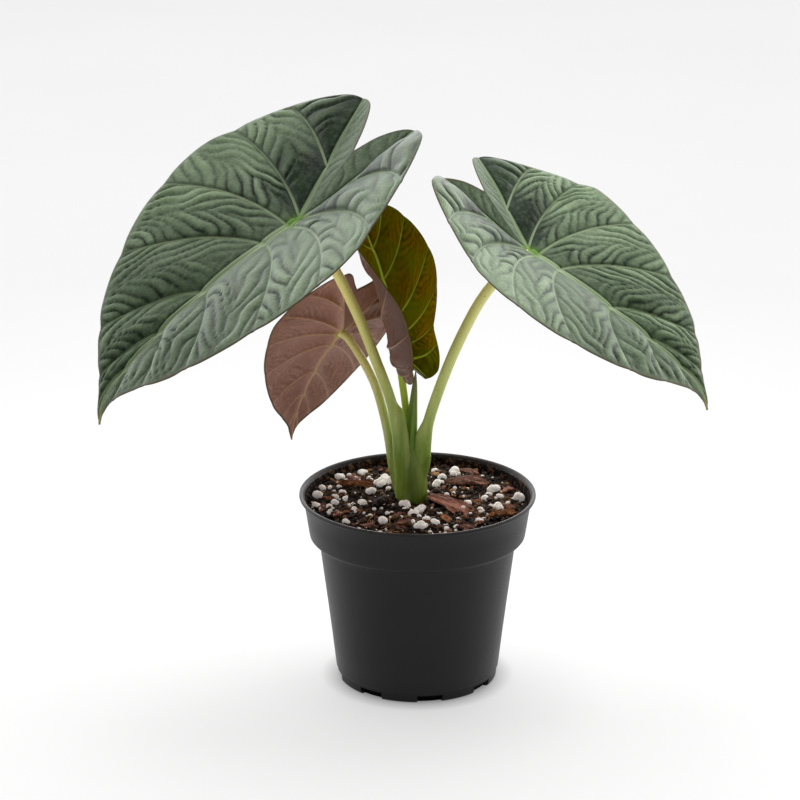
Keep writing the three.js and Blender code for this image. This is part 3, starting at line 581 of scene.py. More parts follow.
# Blades: folded and curled sheets
def midrib_frames(blade):
    """Places and directions along the midrib, ahead of the stalk's joint and behind it."""
    angles = ("heading", "slope", "roll", "bend", "hook", "lift", "sweep", "twist")
    heading, slope, roll, bend, hook, lift, sweep, twist = (math.radians(blade[key]) for key in angles)
    cos_h, sin_h, cos_s, sin_s = math.cos(heading), math.sin(heading), math.cos(slope), math.sin(slope)
    along = np.array([cos_h * cos_s, sin_h * cos_s, -sin_s])
    level = np.array([cos_h * sin_s, sin_h * sin_s, cos_s])
    up = level * math.cos(roll) + np.cross(along, level) * math.sin(roll)
    side = np.cross(along, up)

    def march(end):
        u = np.linspace(0, end, 51)
        hooked = bend * u + hook * np.maximum(0, (u - 0.75) / 0.25) ** 2
        dip = hooked if end > 0 else lift * smooth(-u / 0.14)
        cos_dip, sin_dip, cos_turn, sin_turn, cos_lean, sin_lean = (
            wave(angle)[:, None] for angle in (dip, sweep * u, twist * u) for wave in (np.cos, np.sin))
        forward = cos_dip * cos_turn * along + cos_dip * sin_turn * side - sin_dip * up
        flat = cos_turn * side - sin_turn * along
        across = cos_lean * flat + sin_lean * np.cross(flat, forward)
        steps = (forward[1:] + forward[:-1]) / 2 * np.diff(u)[:, None] * blade["length"]
        at = np.vstack([np.zeros(3), np.cumsum(steps, 0)])
        return dict(u=u, at=at, across=across, normal=np.cross(across, forward))

    return march(1.1), march(-0.8)


def sheet_point(blade, frames, a, b):
    """Points of the folded and curled sheet at a along the midrib and b to the right of it."""
    u = a / blade["length"]
    value = {}
    for key in ("at", "across", "normal"):
        ways = [np.stack([np.interp(sign * u, sign * way["u"], way[key][:, c]) for c in range(3)], -1)
                for sign, way in zip((1, -1), frames)]
        value[key] = np.where((u >= 0)[:, None], *ways)
    across = unit(value["across"])
    normal = unit(value["normal"] - (value["normal"] * across).sum(1)[:, None] * across)
    right = b >= 0
    part = {key: np.where(right, *blade[key]) for key in ("fold", "open", "lobe", "curl", "rib")}
    back = np.maximum(0, -u)
    away = np.abs(b)
    fold = np.radians(part["fold"] + part["open"] * np.maximum(0, u) + part["lobe"] * back)
    bow = np.radians(part["curl"]) / blade["length"]
    out = (np.sin(fold + bow * away) - np.sin(fold)) / bow
    rise = (np.cos(fold) - np.cos(fold + bow * away)) / bow
    saddle = blade["crest"] * np.maximum(0, back * blade["length"] - away / part["rib"])
    out = np.where(right, out, -out)
    return value["at"] + across * out[:, None] + normal * (rise + saddle)[:, None] + np.array(blade["at"])


def sheet_normal(blade, frames, a, b, step=1.4):
    da = sheet_point(blade, frames, a + step, b) - sheet_point(blade, frames, a - step, b)
    db = sheet_point(blade, frames, a, b + step) - sheet_point(blade, frames, a, b - step)
    return unit(np.cross(db, da))


# Blades: outlines and side veins, flat
def half_outline(blade, half):
    """Margin from the tip to the lobe's end, margin from there to the notch, and the lobe's end."""
    rib, width, shoulder, reach = (blade[key][half] for key in ("rib", "width", "shoulder", "reach"))
    line = smooth_curve([*blade["outline"], (blade["notch"], 0)], 10)
    u, v = line[:, 0], line[:, 1]
    stretched = np.where(u < 0, u * (1 + (reach - 1) * np.minimum(1, v / 0.2)), u)
    widened = v * width * (1 + shoulder * np.exp(-((u + 0.12) / 0.2) ** 2))
    line = np.stack([stretched, widened], 1)
    cut = next(i for i, (p, q) in enumerate(line) if p < 0 and q / -p < rib)
    excess = [line[k][1] + rib * line[k][0] for k in (cut - 1, cut)]
    end = line[cut - 1] + (line[cut] - line[cut - 1]) * excess[0] / (excess[0] - excess[1])
    return np.vstack([line[:cut], end]), np.vstack([end, line[cut:]]), end


def line_lengths(line):
    return np.concatenate([[0], np.cumsum(np.hypot(*np.diff(line, axis=0).T))])


def point_along(line, part):
    lengths = line_lengths(line)
    goal = np.asarray(part) * lengths[-1]
    return np.stack([np.interp(goal, lengths, line[:, c]) for c in range(2)], -1)


def beside(points, line):
    """Distance of points from a line, and how far along it they lie."""
    parts = np.linspace(0, 1, 500)
    at = point_along(line, parts)
    tangent = np.gradient(at, axis=0)
    tangent /= np.maximum(np.hypot(*tangent.T), 1e-9)[:, None]
    flat = points.reshape(-1, 2)
    chunks = np.array_split(flat, 1 + len(flat) // 2000)
    nearest = np.concatenate([((chunk[:, None] - at) ** 2).sum(2).argmin(1) for chunk in chunks])
    gap = flat - at[nearest]
    along = parts[nearest] * line_lengths(line)[-1] + (gap * tangent[nearest]).sum(1)
    return np.hypot(*gap.T).reshape(points.shape[:-1]), along.reshape(points.shape[:-1])


def vein_ends(blade, half, outer, end):
    """Where the side veins meet the margin, as parts of its length from the tip."""
    parts = np.linspace(0, 1, 2001)
    ends = [0.0]
    for _, u in VEINS[1:]:
        ahead = u + blade["lead"][half] * math.sin(math.pi * max(0, u)) ** 0.5 if u > 0 else -u * end[0]
        ends.append(float(np.interp(-ahead, -point_along(outer, parts)[:, 0], parts)))
    return ends + [1.0]


def spoke_rows(blade, margins):
    """Columns of place, phase and panel for the net's spokes: they crowd near each side vein."""
    rows = []
    for k, (low, high) in enumerate(zip(STARTS, STARTS[1:])):
        span = max(abs(margin[k + 1] - margin[k]) for margin in margins) * MARGIN_LENGTH * blade["length"]
        cuts = int(max(10, round(span / blade["cut"])))
        middle = 1 if low < 1 < high else (low + high) / 2
        for t in np.arange(cuts) / cuts:
            phase = t - 0.07 * math.sin(2 * math.pi * t)
            rows.append((np.interp(phase, [0, 0.5, 1], [low, middle, high]), phase, k))
    rows.append((2.0, 1.0, LAST_PANEL))
    place, phase, panel = np.array(rows).T[:, :, None]
    return place, phase, panel.astype(int)


def spokes(blade, half, outer, end, margin, place, phase, w):
    """Bowed lines from the midrib or the lobe rib to the margin, and their reach, as parts of the length."""
    start = np.where(place <= 1, np.hstack([1 - place, 0 * place]), end * (place - 1))
    stop = point_along(outer, np.interp(place[:, 0], STARTS, margin))
    pull = SCALLOP * bell(np.minimum(phase, 1 - phase), 0.16)
    pull = pull * smooth((place - 0.3) / 0.2) * smooth((1.42 - place) / 0.2)
    stop = stop * (1 - pull * blade["scallop"])
    reach = np.hypot(*(stop - start).T)[:, None]
    control = (start + stop) / 2 + reach * np.array([-blade["bow"][half], SPOKE_LEAN])
    w = w[:, None]
    return start[:, None] * (1 - w) ** 2 + 2 * control[:, None] * w * (1 - w) + stop[:, None] * w ** 2, reach


def vein_distances(a, b, panel):
    """Distances to the two side veins of each panel, nearer the tip first, and how far out along them."""
    away = np.full((2, *a.shape), 1e3)
    along = np.zeros_like(away)
    for k in range(len(VEINS)):
        mine = np.flatnonzero(panel == k)
        points = np.stack([a[mine], b[mine]], -1)
        for side, row, inside in ((0, mine[0], k > 0), (1, mine[-1] + 1, k < LAST_PANEL)):
            if inside:
                away[side][mine], along[side][mine] = beside(points, np.stack([a[row], b[row]], 1))
    return away, along


# Blades: relief and marks
def rib_line(d, half_width):
    """Pale band with soft sides."""
    return 1 - smooth((d - half_width * 0.75) / (half_width * 0.45 + 0.12))


def blade_noise(blade, a, b, scale, seed):
    points = np.stack([a, b, np.zeros_like(a)], -1).reshape(-1, 3)
    return noise_at(points, scale * FULL_LENGTH / blade["length"], blade["seed"] + seed).reshape(a.shape)


def ripple_pitch(blade, half):
    return RIPPLE_PITCH * blade["length"] * (1 + 0.4 * blade["near"][half])


def ripples(blade, half, panel, reach, warp, fine, away, along):
    """Ridges between small veins, in two families that meet near the panel's middle."""
    near = blade["near"][half]
    pitch = ripple_pitch(blade, half)
    d_low, d_high = away
    across = np.clip(d_low / (d_low + d_high), 0, 1)
    bent = across / RIPPLE_REACH
    curled = (RIPPLE_LEAN * bent + RIPPLE_CURL * bent ** 2.3) * RIPPLE_REACH * (d_low + d_high)
    shift = panel * 0.37 + half * 0.5
    uneven = 0.75 * warp + 0.05 * fine
    middle = reach * blade["length"] / 2
    steep = (along[0] - middle) / (pitch * (1 + 0.25 * bent)) - curled / pitch + shift + uneven
    flat_slope = 1 / math.tan(math.radians(RIPPLE_FLAT_ANGLE))
    flat = (along[1] - flat_slope * d_high) / (pitch * 1.6) + shift + uneven
    crests = []
    for turns, family in ((steep, 0), (flat, 400)):
        ridge = np.floor(turns) + 17 * panel + 900 * half + family
        lot = np.abs(np.sin(ridge * 12.9898 + blade["seed"]) * 43758.5453) % 1
        crests.append(np.abs(np.sin(math.pi * turns)) ** 0.75 * (0.65 + 0.45 * lot))
    blend = smooth((across + 0.12 * warp - 0.4) / 0.22)
    blend = np.where(panel == 0, 1, np.where(panel == LAST_PANEL, 0, blend))
    crest = 0.6 + (crests[0] - 0.6) * (1 - blend) + (crests[1] - 0.6) * blend * (1 - 0.4 * near)
    return across, crest


def net_part(a, b, rise, low, vein, ridge, rim_gap):
    """One grid of the net; rim_gap is the distance from the margin, and low thickens the underside."""
    thick = RIM_THICK + (BLADE_THICK - RIM_THICK) * smooth(rim_gap / 3)
    rim = 1 - smooth((rim_gap - 0.25) / 0.75)
    return dict(a=a, b=b, rise=rise, thick=thick + low, vein=vein, ridge=ridge, rim=rim)


def outer_part(blade, half, outline, margin, rows):
    """Net from the midrib and the lobe rib out to the margin."""
    place, phase, panel = rows
    outer, _, end = outline
    length = blade["length"]
    near = blade["near"][half]
    size = length / FULL_LENGTH
    ahead = place <= 1
    w = np.linspace(0, 1, blade["spokes"]) ** SPOKE_CROWDING
    line, reach = spokes(blade, half, outer, end, margin, place, phase, w)
    a, b = line[..., 0] * length, line[..., 1] * length
    signed = b * (1, -1)[half]
    away = w * reach * length
    rim_gap = (1 - w) * reach * length
    direction = end / np.hypot(*end)
    d_rib = np.abs(np.where(ahead, b, a * direction[1] - b * direction[0]))
    d_veins, along = vein_distances(a, b, panel)
    d_side = d_veins.min(0)
    midrib_half = 2.7 * np.clip(1 - a / length, 0, 1) ** 0.75 + 0.3
    rib_half = np.where(ahead, midrib_half, 1.25 - 0.75 * (place - 1)) * size ** 1.4
    # Quilting between the side veins
    width = np.minimum(np.diff(STARTS)[panel], QUILT_WIDTH_LIMIT)
    quilt = QUILT_RISE * blade["quilt"] * width * length * np.sin(math.pi * phase ** 0.72)
    quilt = quilt * np.minimum(1, reach / 0.3) * np.sin(math.pi * w ** 0.75) ** 0.8
    quilt[:, -1] = 0
    # Ripples, lower near the veins, the margin and the hollow around the joint
    warp, patch, fine = (
        blade_noise(blade, a, signed, scale, seed) for scale, seed in ((0.07, 0), (0.045, 5), (0.22, 9)))
    across, crest = ripples(blade, half, panel, reach, warp, fine, d_veins, along)
    calm = smooth(d_side / (1.8 * size)) * smooth((away - rib_half) / (4 * size))
    calm = calm * smooth(rim_gap / (4 * size))
    hollow = bell(away / length, 0.17) * smooth((place - 0.98) / 0.05)
    hollow = hollow * (1 - 0.7 * np.clip(place - 1, 0, 1))
    grown = (0.3 + 0.7 * smooth((away / length - 0.04) / 0.13)) * (1 - 0.5 * hollow)
    strength = (0.88 + 0.85 * patch) * calm * grown
    ripple = RIPPLE_HEIGHT * length * blade["ripple"] * (crest - 0.4) * strength
    # Grooves and raised lines along the veins, fading towards the margin
    fade = smooth((1 - w) / 0.25)
    strong = 0.3 + 0.7 * fade
    groove = bell(d_side, 1.1 * size)
    middle_groove = bell(across + 0.1 * warp - 0.5, 0.05) * fade * smooth(away / 9)
    edge_groove = bell(d_rib - rib_half * 1.15, 0.55)
    band = rib_line(d_rib, rib_half)
    rise = quilt + ripple - size * (0.75 * groove * strong + 0.3 * middle_groove + 0.42 * edge_groove)
    rise = rise + size * 0.38 * band * np.where(ahead, 1, 0.5)
    rise = rise + size * 0.4 * bell(d_side, 0.42) * strong
    rise = np.where((panel == 0) & (reach * length < 3), 0, rise)
    side_vein = rib_line(d_side, (0.28 + 0.35 * (1 - w)) * size ** 0.5) * (0.25 + 0.55 * fade)
    vein = np.maximum(side_vein, band * np.where(ahead, 0.95, 0.75))
    # Painted light and shade: paler on ripple crests, on the far half's panels beside their joint-side vein
    # and on the outer lobes; darker in the hollow around the joint and in the grooves beside the veins and
    # ribs
    ridge = 0.4 + 0.36 * (1 - near) * smooth((w - 0.1) / 0.3) * (across - 0.45) * fade
    ridge = ridge + 1.15 * (crest - 0.6) * np.clip(strength * blade["ripple"] ** 0.5, 0, 1.2)
    ridge = ridge + 0.34 * smooth((away / length - 0.2) / 0.22) * smooth((place - 0.65) / 0.4)
    ridge = ridge - 0.8 * hollow
    ridge = ridge * (1 - 0.55 * groove) * (1 - 0.3 * middle_groove) * (1 - 0.75 * edge_groove)
    taper = np.where(ahead, 0.35 + 0.65 * np.minimum(1, place / 0.7), 1 - 0.6 * (place - 1))
    low = MIDRIB_THICK * taper * bell(away, RIB_HALF_WIDTH)
    low = np.maximum(low, size * 0.6 * bell(d_side, 0.75) * strong)
    return net_part(a, signed, rise, low, vein, ridge, rim_gap)


def inner_part(blade, half, outline, place):
    """Net between the lobe rib and the ridge that runs to the notch, and out to the notch's margin."""
    _, inner, end = outline
    length = blade["length"]
    size = length / FULL_LENGTH
    t = place[place >= 1][:, None] - 1
    on_notch = (t - NOTCH_PLACE) / (1 - NOTCH_PLACE)
    to_notch = np.hstack([blade["notch"] * t / NOTCH_PLACE, 0 * t])
    stop = np.where(on_notch <= 0, to_notch, point_along(inner, np.clip(1 - on_notch[:, 0], 0, 1)))
    start = end * t
    reach = np.hypot(*(stop - start).T)[:, None]
    w = np.linspace(0, 1, INNER_CUTS)
    line = start[:, None] * (1 - w[:, None]) + stop[:, None] * w[:, None]
    a, b = line[..., 0] * length, line[..., 1] * length
    signed = b * (1, -1)[half]
    away = w * reach * length
    rim_gap = (1 - w) * reach * length
    direction = end / np.hypot(*end)
    d_rib = np.abs(a * direction[1] - b * direction[0])
    rib_half = (1.25 - 0.75 * t) * size ** 1.4
    band = rib_line(d_rib, rib_half)
    edge_groove = bell(d_rib - rib_half * 1.15, 0.55)
    warp = blade_noise(blade, a, signed, 0.12, 3)
    turns = (t * np.hypot(*end) * length - 0.6 * away) / (ripple_pitch(blade, half) * 0.8) + 0.5 * warp
    crest = np.abs(np.sin(math.pi * turns)) ** 0.62
    calm = smooth((away - rib_half) / 3) * smooth(rim_gap / 4)
    rise = RIPPLE_HEIGHT * length * 0.45 * (crest - 0.5) * calm * blade["ripple"]
    rise = rise + size * (0.19 * band - 0.42 * edge_groove * smooth(reach * length / 6))
    rise = np.where(reach * length < 2, 0, rise)
    # Painted light and shade: paler on ripple crests, darker in the groove beside the lobe rib
    ridge = (0.4 + 0.35 * (crest - 0.5) * calm) * (1 - 0.6 * edge_groove)
    low = MIDRIB_THICK * (1 - 0.6 * t) * bell(away, RIB_HALF_WIDTH)
    return net_part(a, signed, rise, low, band * 0.75, ridge, np.where(on_notch > 0, rim_gap, 99))


class Net:
    """Points of a flat blade, shared where its parts meet, and the faces between them."""

    def __init__(self):
        self.columns = {key: [] for key in ("a", "b", "rise", "thick", "vein", "ridge", "rim")}
        self.faces = []
        self.number_at = {}

    def add(self, part):
        shape = part["a"].shape
        flat = {key: value.ravel() for key, value in part.items()}
        numbers = []
        for i, spot in enumerate(zip(*(np.round(flat[key] * 1000).astype(int) for key in "ab"))):
            if spot not in self.number_at:
                self.number_at[spot] = len(self.columns["a"])
                for key, column in self.columns.items():
                    column.append(flat[key][i])
            numbers.append(self.number_at[spot])
        a, b = (np.array(self.columns[key]) for key in "ab")
        for p, q, r, s in grid_faces(*shape):
            ring = [numbers[n] for n in (p, s, r, q)]
            ring = [n for k, n in enumerate(ring) if n != ring[k - 1]]
            if len(set(ring)) < 3:
                continue
            x, y = a[ring], b[ring]
            area = (x * np.roll(y, -1) - y * np.roll(x, -1)).sum()
            if abs(area) >= 1e-5:
                self.faces.append(tuple(ring if area < 0 else ring[::-1]))


def blade_net(blade):
    """Flat points of one blade with their relief and marks, and its faces."""
    outlines = [half_outline(blade, half) for half in (0, 1)]
    margins = [vein_ends(blade, half, outer, end) for half, (outer, _, end) in enumerate(outlines)]
    rows = spoke_rows(blade, margins)
    net = Net()
    for half in (0, 1):
        net.add(outer_part(blade, half, outlines[half], margins[half], rows))
        net.add(inner_part(blade, half, outlines[half], rows[0]))
    return {key: np.array(column) for key, column in net.columns.items()}, net.faces


def blade_piece(name, blade, skins, under_warm):
    """Leaf with a top, an underside and a rim; skins are the materials of top, underside and a glossier copy
    of the top that paints sheen on the half turned away from the front.
    """
    net, faces = blade_net(blade)
    frames = midrib_frames(blade)
    a, b = net["a"], net["b"]
    normal = sheet_normal(blade, frames, a, b)
    top = sheet_point(blade, frames, a, b) + normal * net["rise"][:, None]
    under = top - normal * net["thick"][:, None]
    count = len(a)
    size = blade["length"] / FULL_LENGTH
    u, v = a / blade["length"], b / blade["length"]
    away = np.hypot(a, b)
    joint = bell(away, 4 * size) + 0.45 * bell(away, 9 * size) * net["vein"]
    tip = smooth((u - 0.93) / 0.06)
    warm = 0.5 * smooth((u - 0.82) / 0.15) + 0.25 * net["rim"]
    # The ridge channel carries the painted light and shade of the relief; the underside's is turned round
    # from the top's
    marks = point_colours(net["vein"], net["ridge"], net["rim"])
    zones = point_colours(joint, tip, warm)
    under_marks = point_colours(net["vein"], 0.75 - 0.35 * (net["ridge"] - 0.5), net["rim"])
    under_zones = point_colours(joint, tip, under_warm(u, v))
    edges = dict.fromkeys((p, q) for face in faces for p, q in zip(face, face[1:] + face[:1]))
    rim_faces = [(q, p, count + p, count + q) for p, q in edges if (q, p) not in edges]
    under_faces = [tuple(count + n for n in reversed(face)) for face in faces]
    # The half turned away from the front gets a glossier copy of the top material, as painted sheen
    slots = [2 * blade["near"][int(b[face[0]] < 0)] for face in faces]
    slots += [1] * len(under_faces) + [0] * len(rim_faces)
    layers = dict(marks=np.vstack([marks, under_marks]), zones=np.vstack([zones, under_zones]))
    faces = faces + under_faces + rim_faces
    return build_mesh(f"{name}_leaf", np.vstack([top, under]), faces, skins, slots, layers)


def grown_warm(u, v):
    return 0.75 * smooth((0.15 - u) / 0.5) * smooth((v + 0.05) / 0.3) + 0.35 * smooth((np.abs(v) - 0.4) / 0.2)


def young_warm(u, v):
    return 0.6 * smooth((np.abs(v) - 0.3) / 0.2)


for node, blade in BLADES.items():
    young = node == "blade_4"
    # shade is a factor of painted light on this blade's top colours
    slot, shade = BLADE_SKINS[node]
    top = linear(YOUNG_TOP_LOOK if young else TOP_LOOK, shade)
    under = linear(YOUNG_UNDER_LOOK if young else UNDER_LOOK)
    gloss = dict(specular=0.0, clouding=0.8) if young else dict(specular=0.14, sheen=0.3)
    skins = [
        leaf_material(f"{node}_top", top, **gloss),
        leaf_material(f"{node}_under", under, specular=0.25, vein_part=0.7, clouding=0.6),
        # A glossier copy of the top: painted sheen for the half turned away from the front
        leaf_material(f"{node}_painted_sheen", top, specular=0.24, sheen=1.0),
    ]
    dress(blade_piece(node, blade, skins, young_warm if young else grown_warm), slot, [node])


# Stalks, stem and new leaf
def plain_round(turn, part, z):
    return np.ones_like(turn), np.zeros((len(turn), 4))


def tube(points, sides, cuts, profile=plain_round):
    """Vertices, faces and colours of a tube through x, y, z, radius; profile gives its factor and colour."""
    path = smooth_curve(points, cuts)
    at = path[:, :3]
    across = np.array([1.0, 0, 0])
    rings = []
    shades = []
    turn = np.linspace(0, 2 * math.pi, sides, endpoint=False)
    for k in range(len(path)):
        along = at[min(k + 1, len(at) - 1)] - at[max(k - 1, 0)]
        along /= np.linalg.norm(along)
        across = across - across.dot(along) * along
        across /= np.linalg.norm(across)
        factor, shade = profile(turn, k / (len(path) - 1), path[k, 2])
        radius = path[k, 3] * factor
        up = np.cross(along, across)
        rings.append(at[k] + np.outer(radius * np.cos(turn), across) + np.outer(radius * np.sin(turn), up))
        shades.append(shade)
    return np.vstack(rings), tube_faces(len(path), sides), np.vstack(shades)


def dress_stalk(name, node, surface, paint):
    """Piece from vertices, faces and tint."""
    vertices, faces, tint = surface
    skin = stalk_material(f"{node}_look", *paint)
    dress(build_mesh(name, vertices, faces, [skin], layers=dict(tint=tint)), "stalk", [node])


def gap_to(turn, degrees):
    return np.angle(np.exp(1j * (turn - math.radians(degrees))))


for node, points in STALKS.items():
    toward, spread, begin, shoulder = SHEATHS[node]

    def stalk_profile(turn, part, z):
        low = float(smooth((begin - z) / shoulder))
        gap = gap_to(turn, toward)
        shape = 1 + 0.012 * np.cos(5 * turn + 1.1) + 0.03 * smooth((part - 0.94) / 0.06)
        line = 0.3 * bell(gap, 0.22) * smooth(low / 0.3) * (low < 1)
        if node == "petiole_1":
            line = line + 0.7 * bell(gap_to(turn, 188), 0.3) * bell((z - 122) / 22, 1)
        # Painted shade on one side of the sheath, low on the stalk
        dark = 0.12 * low * bell(gap + 0.5 * np.sign(math.cos(math.radians(toward))), 0.4)
        return shape + spread * low * bell(gap, 0.75), point_colours(smooth((part - 0.1) / 0.7), line, dark)

    surface = tube(points, STALK_SIDES, STALK_CUTS, stalk_profile)
    dress_stalk(f"{node}_stalk", node, surface, STALK_PAINT[node])


def spear_profile(turn, part, z):
    fold = gap_to(turn, 240)
    shape = 1 - 0.16 * bell(fold, 0.35) * smooth(part / 0.3)
    # Painted shade along the fold, and darker towards the top
    dark = 0.22 * bell(fold, 0.3) + 0.25 * smooth((part - 0.6) / 0.4)
    return shape, point_colours(smooth((part - 0.45) / 0.45), 0, dark)


dress_stalk("spear_sheath", "spear", tube(SPEAR, STALK_SIDES, STALK_CUTS, spear_profile), SPEAR_PAINT)


def stem_surface():
    """Stem that also takes in the bases of the stalks around it."""
    path = smooth_curve(STEM, 8)
    turn = np.linspace(0, 2 * math.pi, STEM_SIDES, endpoint=False)
    heading = np.stack([np.cos(turn), np.sin(turn)], 1)
    blur = bell(np.arange(-5, 6), 2.6)
    blur /= blur.sum()
    around = [smooth_curve(STALKS[node], 20) for node in ("petiole_1", "petiole_2", "petiole_3")]
    rings = []
    shades = []
    for k, (x, y, z, width, depth) in enumerate(path):
        part = k / (len(path) - 1)
        reach = 1 / np.hypot(heading[:, 0] / width, heading[:, 1] / depth)
        for line in around:
            if not line[0, 2] - 6 < z < line[-1, 2]:
                continue
            px, py, radius = (float(np.interp(z, line[:, 2], line[:, c])) for c in (0, 1, 3))
            radius = (radius + 0.35) * float(smooth((z - line[0, 2] + 6) / 6) * smooth((127 - z) / 9))
            offset = np.array([px - x, py - y])
            toward = heading @ offset
            inside = radius ** 2 - offset @ offset + toward ** 2
            far = np.where((inside > 0) & (toward > 0), toward + np.sqrt(np.maximum(inside, 0)), 0)
            reach = np.maximum(reach, far)
        reach = np.convolve(np.concatenate([reach[-5:], reach, reach[:5]]), blur, "valid")
        pale = np.zeros_like(turn)
        dark = np.zeros_like(turn)
        for angle, deep, dark_part, pale_part in FURROWS:
            gap = gap_to(turn, angle + 10 * (part - 0.5))
            reach = reach * (1 - deep * bell(gap, 0.16))
            # Painted shade in each furrow
            dark += dark_part * bell(gap, 0.26) * (0.55 + 0.45 * part)
            pale += pale_part * bell(gap + 0.12, 0.07)
        rings.append(np.column_stack([(x, y) + reach[:, None] * heading, np.full_like(turn, z)]))
        # Tint rises with height; painted light makes the side towards 190 degrees paler and the opposite side
        # darker
        shades.append(point_colours(0.35 + 0.3 * np.cos(turn - math.radians(190)) + 0.45 * part, pale, dark))
    return np.vstack(rings), tube_faces(len(path), STEM_SIDES), np.vstack(shades)


dress_stalk("stem_base", "stem", stem_surface(), STEM_PAINT)


# Pot
def pot_turns():
    """Angles around the pot, and whether each lies in a drain notch."""
    half = math.degrees(math.asin(NOTCH_WIDTH / 2 / NOTCH_RADIUS))
    free = 360 / NOTCHES - 2 * half
    turns = []
    for k in range(NOTCHES):
        middle = NOTCH_FIRST_ANGLE + 360 * k / NOTCHES
        turns += [(middle - half - NOTCH_EDGE, False), (middle - half + NOTCH_EDGE, True)]
        turns += [(middle + t * half, True) for t in (-0.6, -0.2, 0.2, 0.6)]
        turns += [(middle + half - NOTCH_EDGE, True), (middle + half + NOTCH_EDGE, False)]
        turns += [(middle + half + free * t / 14, False) for t in range(1, 14)]
    return turns


def pot_piece():
    turns = pot_turns()
    turn, notched = np.array(turns).T
    profile = POT_OUTSIDE + [(radius, z) for z, radius in reversed(POT_INSIDE)]
    radius, z = np.array(profile).T[:, :, None]
    cut = (notched > 0) & (z < NOTCH_HEIGHT)
    out = np.where(cut, np.minimum(radius, NOTCH_RADIUS - NOTCH_DEPTH), radius)
    ring = np.radians(turn)
    vertices = np.stack(np.broadcast_arrays(out * np.cos(ring), out * np.sin(ring), z), -1).reshape(-1, 3)
    faces = tube_faces(len(profile), len(turns))
    inside = np.arange(len(profile))[:, None] >= len(POT_OUTSIDE)
    # Painted highlight on the top of the rolled lip
    lip_highlight = (radius >= LIP_HIGHLIGHT_RADIUS) & (z > LIP_HIGHLIGHT_HEIGHT)
    dust_and_painted_light = point_colours(inside * smooth((z - DUST_HEIGHT) / 10), lip_highlight, cut).reshape(-1, 4)
    wall = len(POT_OUTSIDE) * len(turns)
    slots = [int(len(face) == 4 and (min(face) >= wall or dust_and_painted_light[list(face), 2].min() > 0)) for face in faces]
    satin = pot_material("pot_plastic_look", 0.29, (0.38, 0.5))
    matt = pot_material("pot_inside_look", 0.08, (0.7, 0.9))
    piece = build_mesh("nursery_pot", vertices, faces, [satin, matt], slots, dict(dust_and_painted_light=dust_and_painted_light))
    piece.data.set_sharp_from_angle(angle=math.radians(38))
    return piece


dress(pot_piece(), "pot_plastic", ["pot"])


# Growing mix
def soil_piece():
    edge = float(np.interp(SOIL_WALL_Z, *zip(*POT_INSIDE))) - WALL_GAP
    turn = np.linspace(0, 2 * math.pi, SOIL_SIDES, endpoint=False)
    t = np.linspace(0, 1, SOIL_RINGS)[:, None]
    radius = SOIL_INNER_RADIUS + (edge - SOIL_INNER_RADIUS) * t
    x = (STEM[0][0] * (1 - t) + radius * np.cos(turn)).ravel()
    y = (STEM[0][1] * (1 - t) + radius * np.sin(turn)).ravel()
    top = np.stack([x, y, soil_height(x, y)], 1)
    lumps = noise_at(top * (1, 1, 0), 0.33, 3) * 1.1 + noise_at(top * (1, 1, 0), 0.9, 4) * 0.55
    top[:, 2] += np.clip(lumps, -1.3, 1.3)
    side = [np.stack([r * np.cos(turn), r * np.sin(turn), np.full_like(turn, z)], 1) for z, r in SOIL_SIDE]
    faces = [face[::-1] for face in tube_faces(SOIL_RINGS + len(SOIL_SIDE), SOIL_SIDES)]
    return build_mesh("soil_bed", np.vstack([top, *side]), faces, [soil_material()])


dress(soil_piece(), "soil", ["soil"])


def scattered(count, reach, clear=0.0):
    """Random places on the mix that are clear of the stem: number, x and y."""
    for k in range(count):
        radius = reach * math.sqrt(random.random())
        turn = 2 * math.pi * random.random()
        x, y = radius * math.cos(turn), radius * math.sin(turn)
        if math.hypot(x - STEM[0][0], y - STEM[0][1]) >= clear:
            yield k, x, y


def round_mesh(cuts):
    ball = bmesh.new()
    bmesh.ops.create_icosphere(ball, subdivisions=cuts, radius=1)
    vertices = np.array([v.co for v in ball.verts])
    faces = [tuple(v.index for v in face.verts) for face in ball.faces]
    ball.free()
    return vertices, faces


def gather(name, parts, material, layers=(), smooth_faces=True):
    """One mesh from parts of points, faces and, for each layer, one colour or one for every point."""
    faces = []
    start = 0
    for points, part_faces, *_ in parts:
        faces += [tuple(start + n for n in face) for face in part_faces]
        start += len(points)
    colours = {layer: np.vstack([np.broadcast_to(part[2 + k], (len(part[0]), 4)) for part in parts])
               for k, layer in enumerate(layers)}
    vertices = np.vstack([part[0] for part in parts])
    return build_mesh(name, vertices, faces, [material], layers=colours, smooth_faces=smooth_faces)


def lump(ball, x, y, lift, size, stretch, seed, rough):
    """Popped grain: a few round beads grown together, with shallow pits."""
    points, faces = ball
    draw = np.random.default_rng(seed)
    beads = draw.normal(size=(3 + seed % 3, 3))
    beads *= (0.5 * rough * draw.uniform(0.5, 0.8, len(beads)) / np.linalg.norm(beads, axis=1))[:, None]
    swell = draw.uniform(0.52, 0.68, len(beads))
    toward = points @ beads.T
    far = toward + np.sqrt(np.maximum(swell ** 2 - (beads ** 2).sum(1) + toward ** 2, 0))
    radius = far.max(1)
    radius = radius / np.percentile(radius, 85) + noise_at(points, 5.0, seed + 2) * 0.07
    shape = points * (radius * size / 2)[:, None] * np.array(stretch)
    turn = Matrix.Rotation(seed * 2.4, 3, "Z")
    return shape @ np.array(turn).T + np.array([x, y, float(soil_height(x, y)) + lift]), faces


